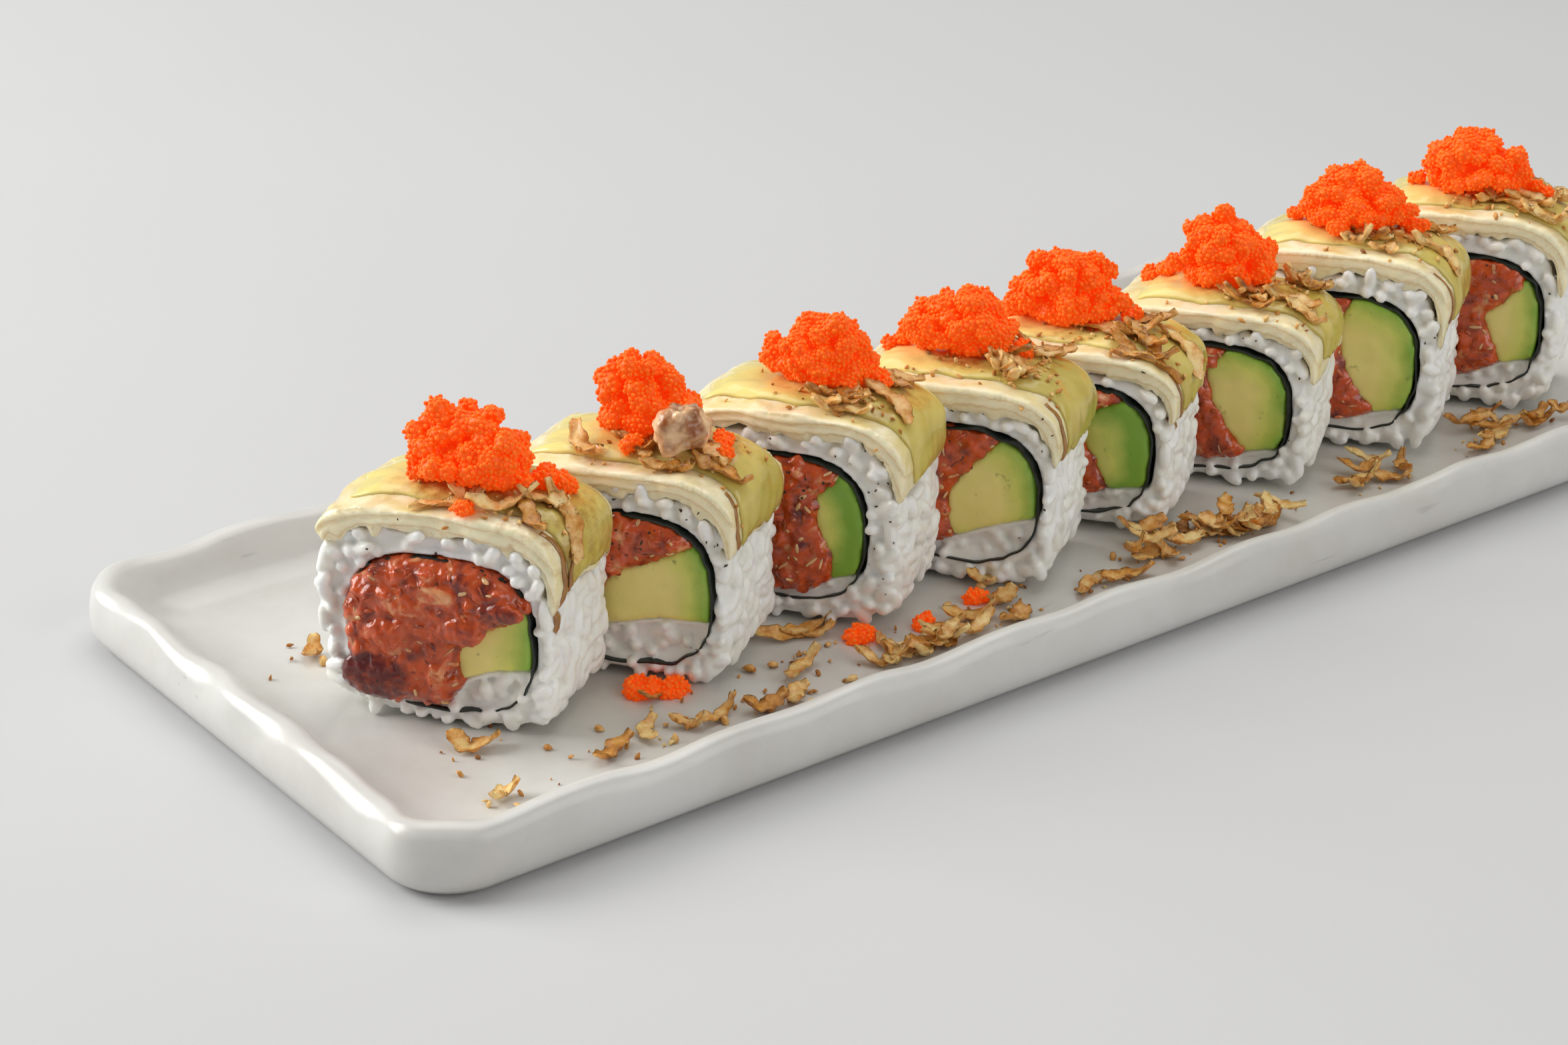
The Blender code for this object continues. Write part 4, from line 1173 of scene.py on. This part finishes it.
# Each drip: slice, depth, heights where it starts and ends, and width, in mm
DRIPS = [(1, -9.6, 39, 20, 3.0), (1, -7.2, 37, 27, 2.0), (2, -10.0, 38, 27, 2.2), (4, -9.4, 38, 26, 2.4),
         (5, -9.0, 34, 22, 2.2), (7, -9.6, 40, 29, 2.0)]
for index, (number, depth, first, last, width) in enumerate(DRIPS):
    place = slice_frame(number)
    rice = bpy.data.objects[f"slice{number}_rice_grains"]
    under = surface_of(fish_pieces[number], sheet_pieces[number], rice)
    path = []
    for station in range(STRIP_STATIONS):
        share = station / (STRIP_STATIONS - 1)
        lean = math.sin(share * 5 + index) * 0.7
        start = place @ Vector((60 * MM, (depth + lean) * MM, (first + (last - first) * share) * MM))
        hit = under.ray_cast(start, -FACE_ACROSS)[0]
        if hit:
            path.append(hit)
    rings = []
    for station, point in enumerate(path):
        share = station / (len(path) - 1)
        round_end = math.sqrt(max(0.02, 1 - max(0, share * 6 - 5) ** 2))
        swell = width / 2 * MM * (0.45 + 0.55 * share ** 2) * round_end
        turns = np.linspace(0, 2 * math.pi, STRIP_SIDES, endpoint=False)
        rings.append([point + (ALONG_ROLL * math.cos(turn) + FACE_ACROSS * math.sin(turn) * 0.45) * swell
                      for turn in turns])
    drip = wrapped(f"slice{number}_glaze_drip_{index}", rings)
    dress(drip, glazing, "avocado_slice")

# Crumbs: bits of shallot and yellow batter that broke off in the pan and fell with the strips, on
# the slices beside the roe and over the near side of the dish.

CRUMBS_ON_DISH = 170
CRUMBS_A_SLICE = 70
# One crumb, knocked out of round
crumb_shape = pebble(6, 4)
for vertex in crumb_shape.data.vertices:
    vertex.co *= 1 + 1.1 * noise.noise(vertex.co * 4.3)
# Where each crumb lies by itself on the dish, along and across it in mm, and its size
LOOSE_CRUMBS = [
    (24.1, 13.6, 2.6), (22.3, 29.8, 1.8), (24.3, 80.0, 2.6), (84.9, 30.5, 3.0), (89.4, 29.3, 2.6),
    (97.6, 16.2, 2.6), (86.1, 13.8, 2.0), (58.7, 17.2, 2.4), (39.6, 28.5, 1.8), (50.2, 16.4, 1.6),
    (28.0, 33.1, 1.5), (50.6, 28.7, 2.0), (69.9, 17.3, 2.2), (141.1, 31.2, 2.6), (130.5, 28.7, 2.4),
    (170.2, 25.5, 2.2), (273.9, 22.0, 2.4),
]
placed, tints = [], []
for along, across, size in LOOSE_CRUMBS:
    spot = ROW_CORNER + Vector((along * MM, across * MM, DISH_FLOOR + size * 0.3 * MM))
    placed.append(lying(spot, Vector(chance.normal(0, 1, 3)), UP,
                        [size * MM, size * 0.7 * MM, size * 0.6 * MM]))
    tints.append(chance.uniform(0.3, 1.0))
for index in range(CRUMBS_ON_DISH):
    along, across, _, _ = FALLEN[index % len(FALLEN)]
    aside = chance.normal(0, 5.5, 2)
    size = chance.uniform(0.6, 1.7)
    across = max(17, min(across + aside[1] * 0.7, 30 if along > 60 else 90))
    spot = ROW_CORNER + Vector(((along + aside[0]) * MM, across * MM, DISH_FLOOR + size * 0.35 * MM))
    placed.append(lying(spot, Vector(chance.normal(0, 1, 3)), UP,
                        [size * MM, size * chance.uniform(0.4, 0.8) * MM, size * 0.45 * MM]))
    tints.append(chance.uniform(0.1, 1.0))
crumbs = joined("crumbs_on_dish", crumb_shape, placed, tints)
dress(crumbs, crisped, "ceramic")

for number, name, place in slices():
    toppings = surface_of(fish_pieces[number], sheet_pieces[number])
    placed, tints = [], []
    for _ in range(CRUMBS_A_SLICE):
        across, depth = chance.normal(9, 7) * MM, chance.normal(-3.5, 5) * MM
        hit, out = landing(toppings, place, across, depth)[:2]
        if not hit:
            continue
        size = chance.uniform(0.6, 1.9) * MM
        placed.append(lying(hit + out * size * 0.25, Vector(chance.normal(0, 1, 3)), out,
                            [size, size * chance.uniform(0.4, 0.8), size * 0.45]))
        tints.append(chance.uniform(0.1, 1.0))
    dress(joined(f"{name}_crumbs", crumb_shape, placed, tints), crisped, "avocado_slice")

# Flecks of char that the torch blew over the cut faces and the edge of the fish: thin dry scales,
# most on the second and third slices.

# Char: matt black to dark brown scales
char = finish_called("torch_char", Roughness=0.7)
where = add(char, "TexCoord").outputs["Object"]
burnt = add(char, "TexNoise", {"Vector": where, "Scale": 700, "Detail": 2})
soot = add(char, "Mix", {0: burnt, 6: colour("#15110E"), 7: colour("#5A4630")}, data_type="RGBA")
feed(char, Base_Color=soot)
# How many flecks each slice has
CHAR_COUNTS = (10, 60, 70, 34, 20, 14, 14, 14)
for number, name, place in slices():
    cut = [bpy.data.objects[f"{name}_{part}"] for part in ("rice_grains", "tuna_minced")]
    wall = surface_of(fish_pieces[number], *cut)
    placed = []
    for index in range(CHAR_COUNTS[number - 1]):
        high = 24 + abs(chance.normal(0, 7)) if index % 4 else chance.uniform(6, 30)
        hit, out = on_the_cut(wall, place, chance.uniform(-19, 21) * MM, min(high, 41) * MM)[:2]
        if hit:
            size = chance.uniform(0.4, 1.2) * MM
            placed.append(lying(hit + out * 0.03 * MM, Vector(chance.normal(0, 1, 3)), out,
                                [size, size * chance.uniform(0.3, 0.6), 0.22 * MM]))
    flakes = joined(f"{name}_char_flecks", crumb_shape, placed, [0] * len(placed))
    dress(flakes, char, "fish")

# What is not part of the object: a plain pale floor, soft light from a large window behind on the
# left with a fill from the right, and the camera where the photograph was taken

bpy.ops.object.select_all(action="DESELECT")
bpy.ops.mesh.primitive_plane_add(size=6)
table = bpy.context.active_object
table.name = "pale_floor"
plain = finish_called("pale_floor", Roughness=0.6)
where = add(plain, "TexCoord").outputs["Object"]
faint = add(plain, "TexNoise", {"Vector": where, "Scale": 6, "Detail": 2})
pale_tone = add(plain, "Mix", {0: faint, 6: colour("#C9C9CA"), 7: colour("#CDCDCE")}, data_type="RGBA")
feed(plain, Base_Color=pale_tone)
table.data.materials.append(plain)
table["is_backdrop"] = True

world = bpy.data.worlds.new("studio")
world.use_nodes = True
world.node_tree.nodes["Background"].inputs["Color"].default_value = colour("#E8E9EA")
world.node_tree.nodes["Background"].inputs["Strength"].default_value = 0.30
bpy.context.scene.world = world

# Each light: its name, its place, its width in metres, its power in watts and its colour
LIGHTS = [
    ("window", (-0.9, 0.85, 0.7), 0.9, 19, "#FFFFFC"),
    ("overhead", (0.25, 0.25, 1.2), 1.1, 7.5, "#FFFEFB"),
    ("fill", (0.35, -1.1, 0.6), 0.9, 5, "#FFFEFA"),
]
for name, spot, size, power, tone in LIGHTS:
    lamp = bpy.data.lights.new(name, "AREA")
    lamp.shape = "SQUARE"
    lamp.size = size
    lamp.energy = power
    lamp.color = colour(tone)[:3]
    holder = bpy.data.objects.new(name, lamp)
    holder.location = spot
    holder.rotation_euler = (-Vector(spot)).to_track_quat("-Z", "Y").to_euler()
    bpy.context.scene.collection.objects.link(holder)

# The camera looks down by this many degrees, and this far round from the dish's length
CAMERA_PLACE = (-0.39854, -0.45826, 0.2836)
CAMERA_DOWN = 25.234
CAMERA_ROUND = 52.868
camera = bpy.data.objects.new("camera", bpy.data.cameras.new("camera"))
camera.location = CAMERA_PLACE
camera.rotation_euler = Euler((math.radians(90 - CAMERA_DOWN), 0, math.radians(CAMERA_ROUND - 90)))
camera.data.lens = 74.75
camera.data.sensor_width = 36
bpy.context.scene.collection.objects.link(camera)
bpy.context.scene.camera = camera
bpy.context.scene.view_settings.view_transform = "Standard"

# The small shapes were only there to be copied
for shape in (grain_shape, lump_shape, fleck_shape, egg_shape, knob_shape, crumb_shape):
    bpy.data.objects.remove(shape, do_unlink=True)

[[list(corner) for corner in box] for box in (cad_box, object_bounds())]
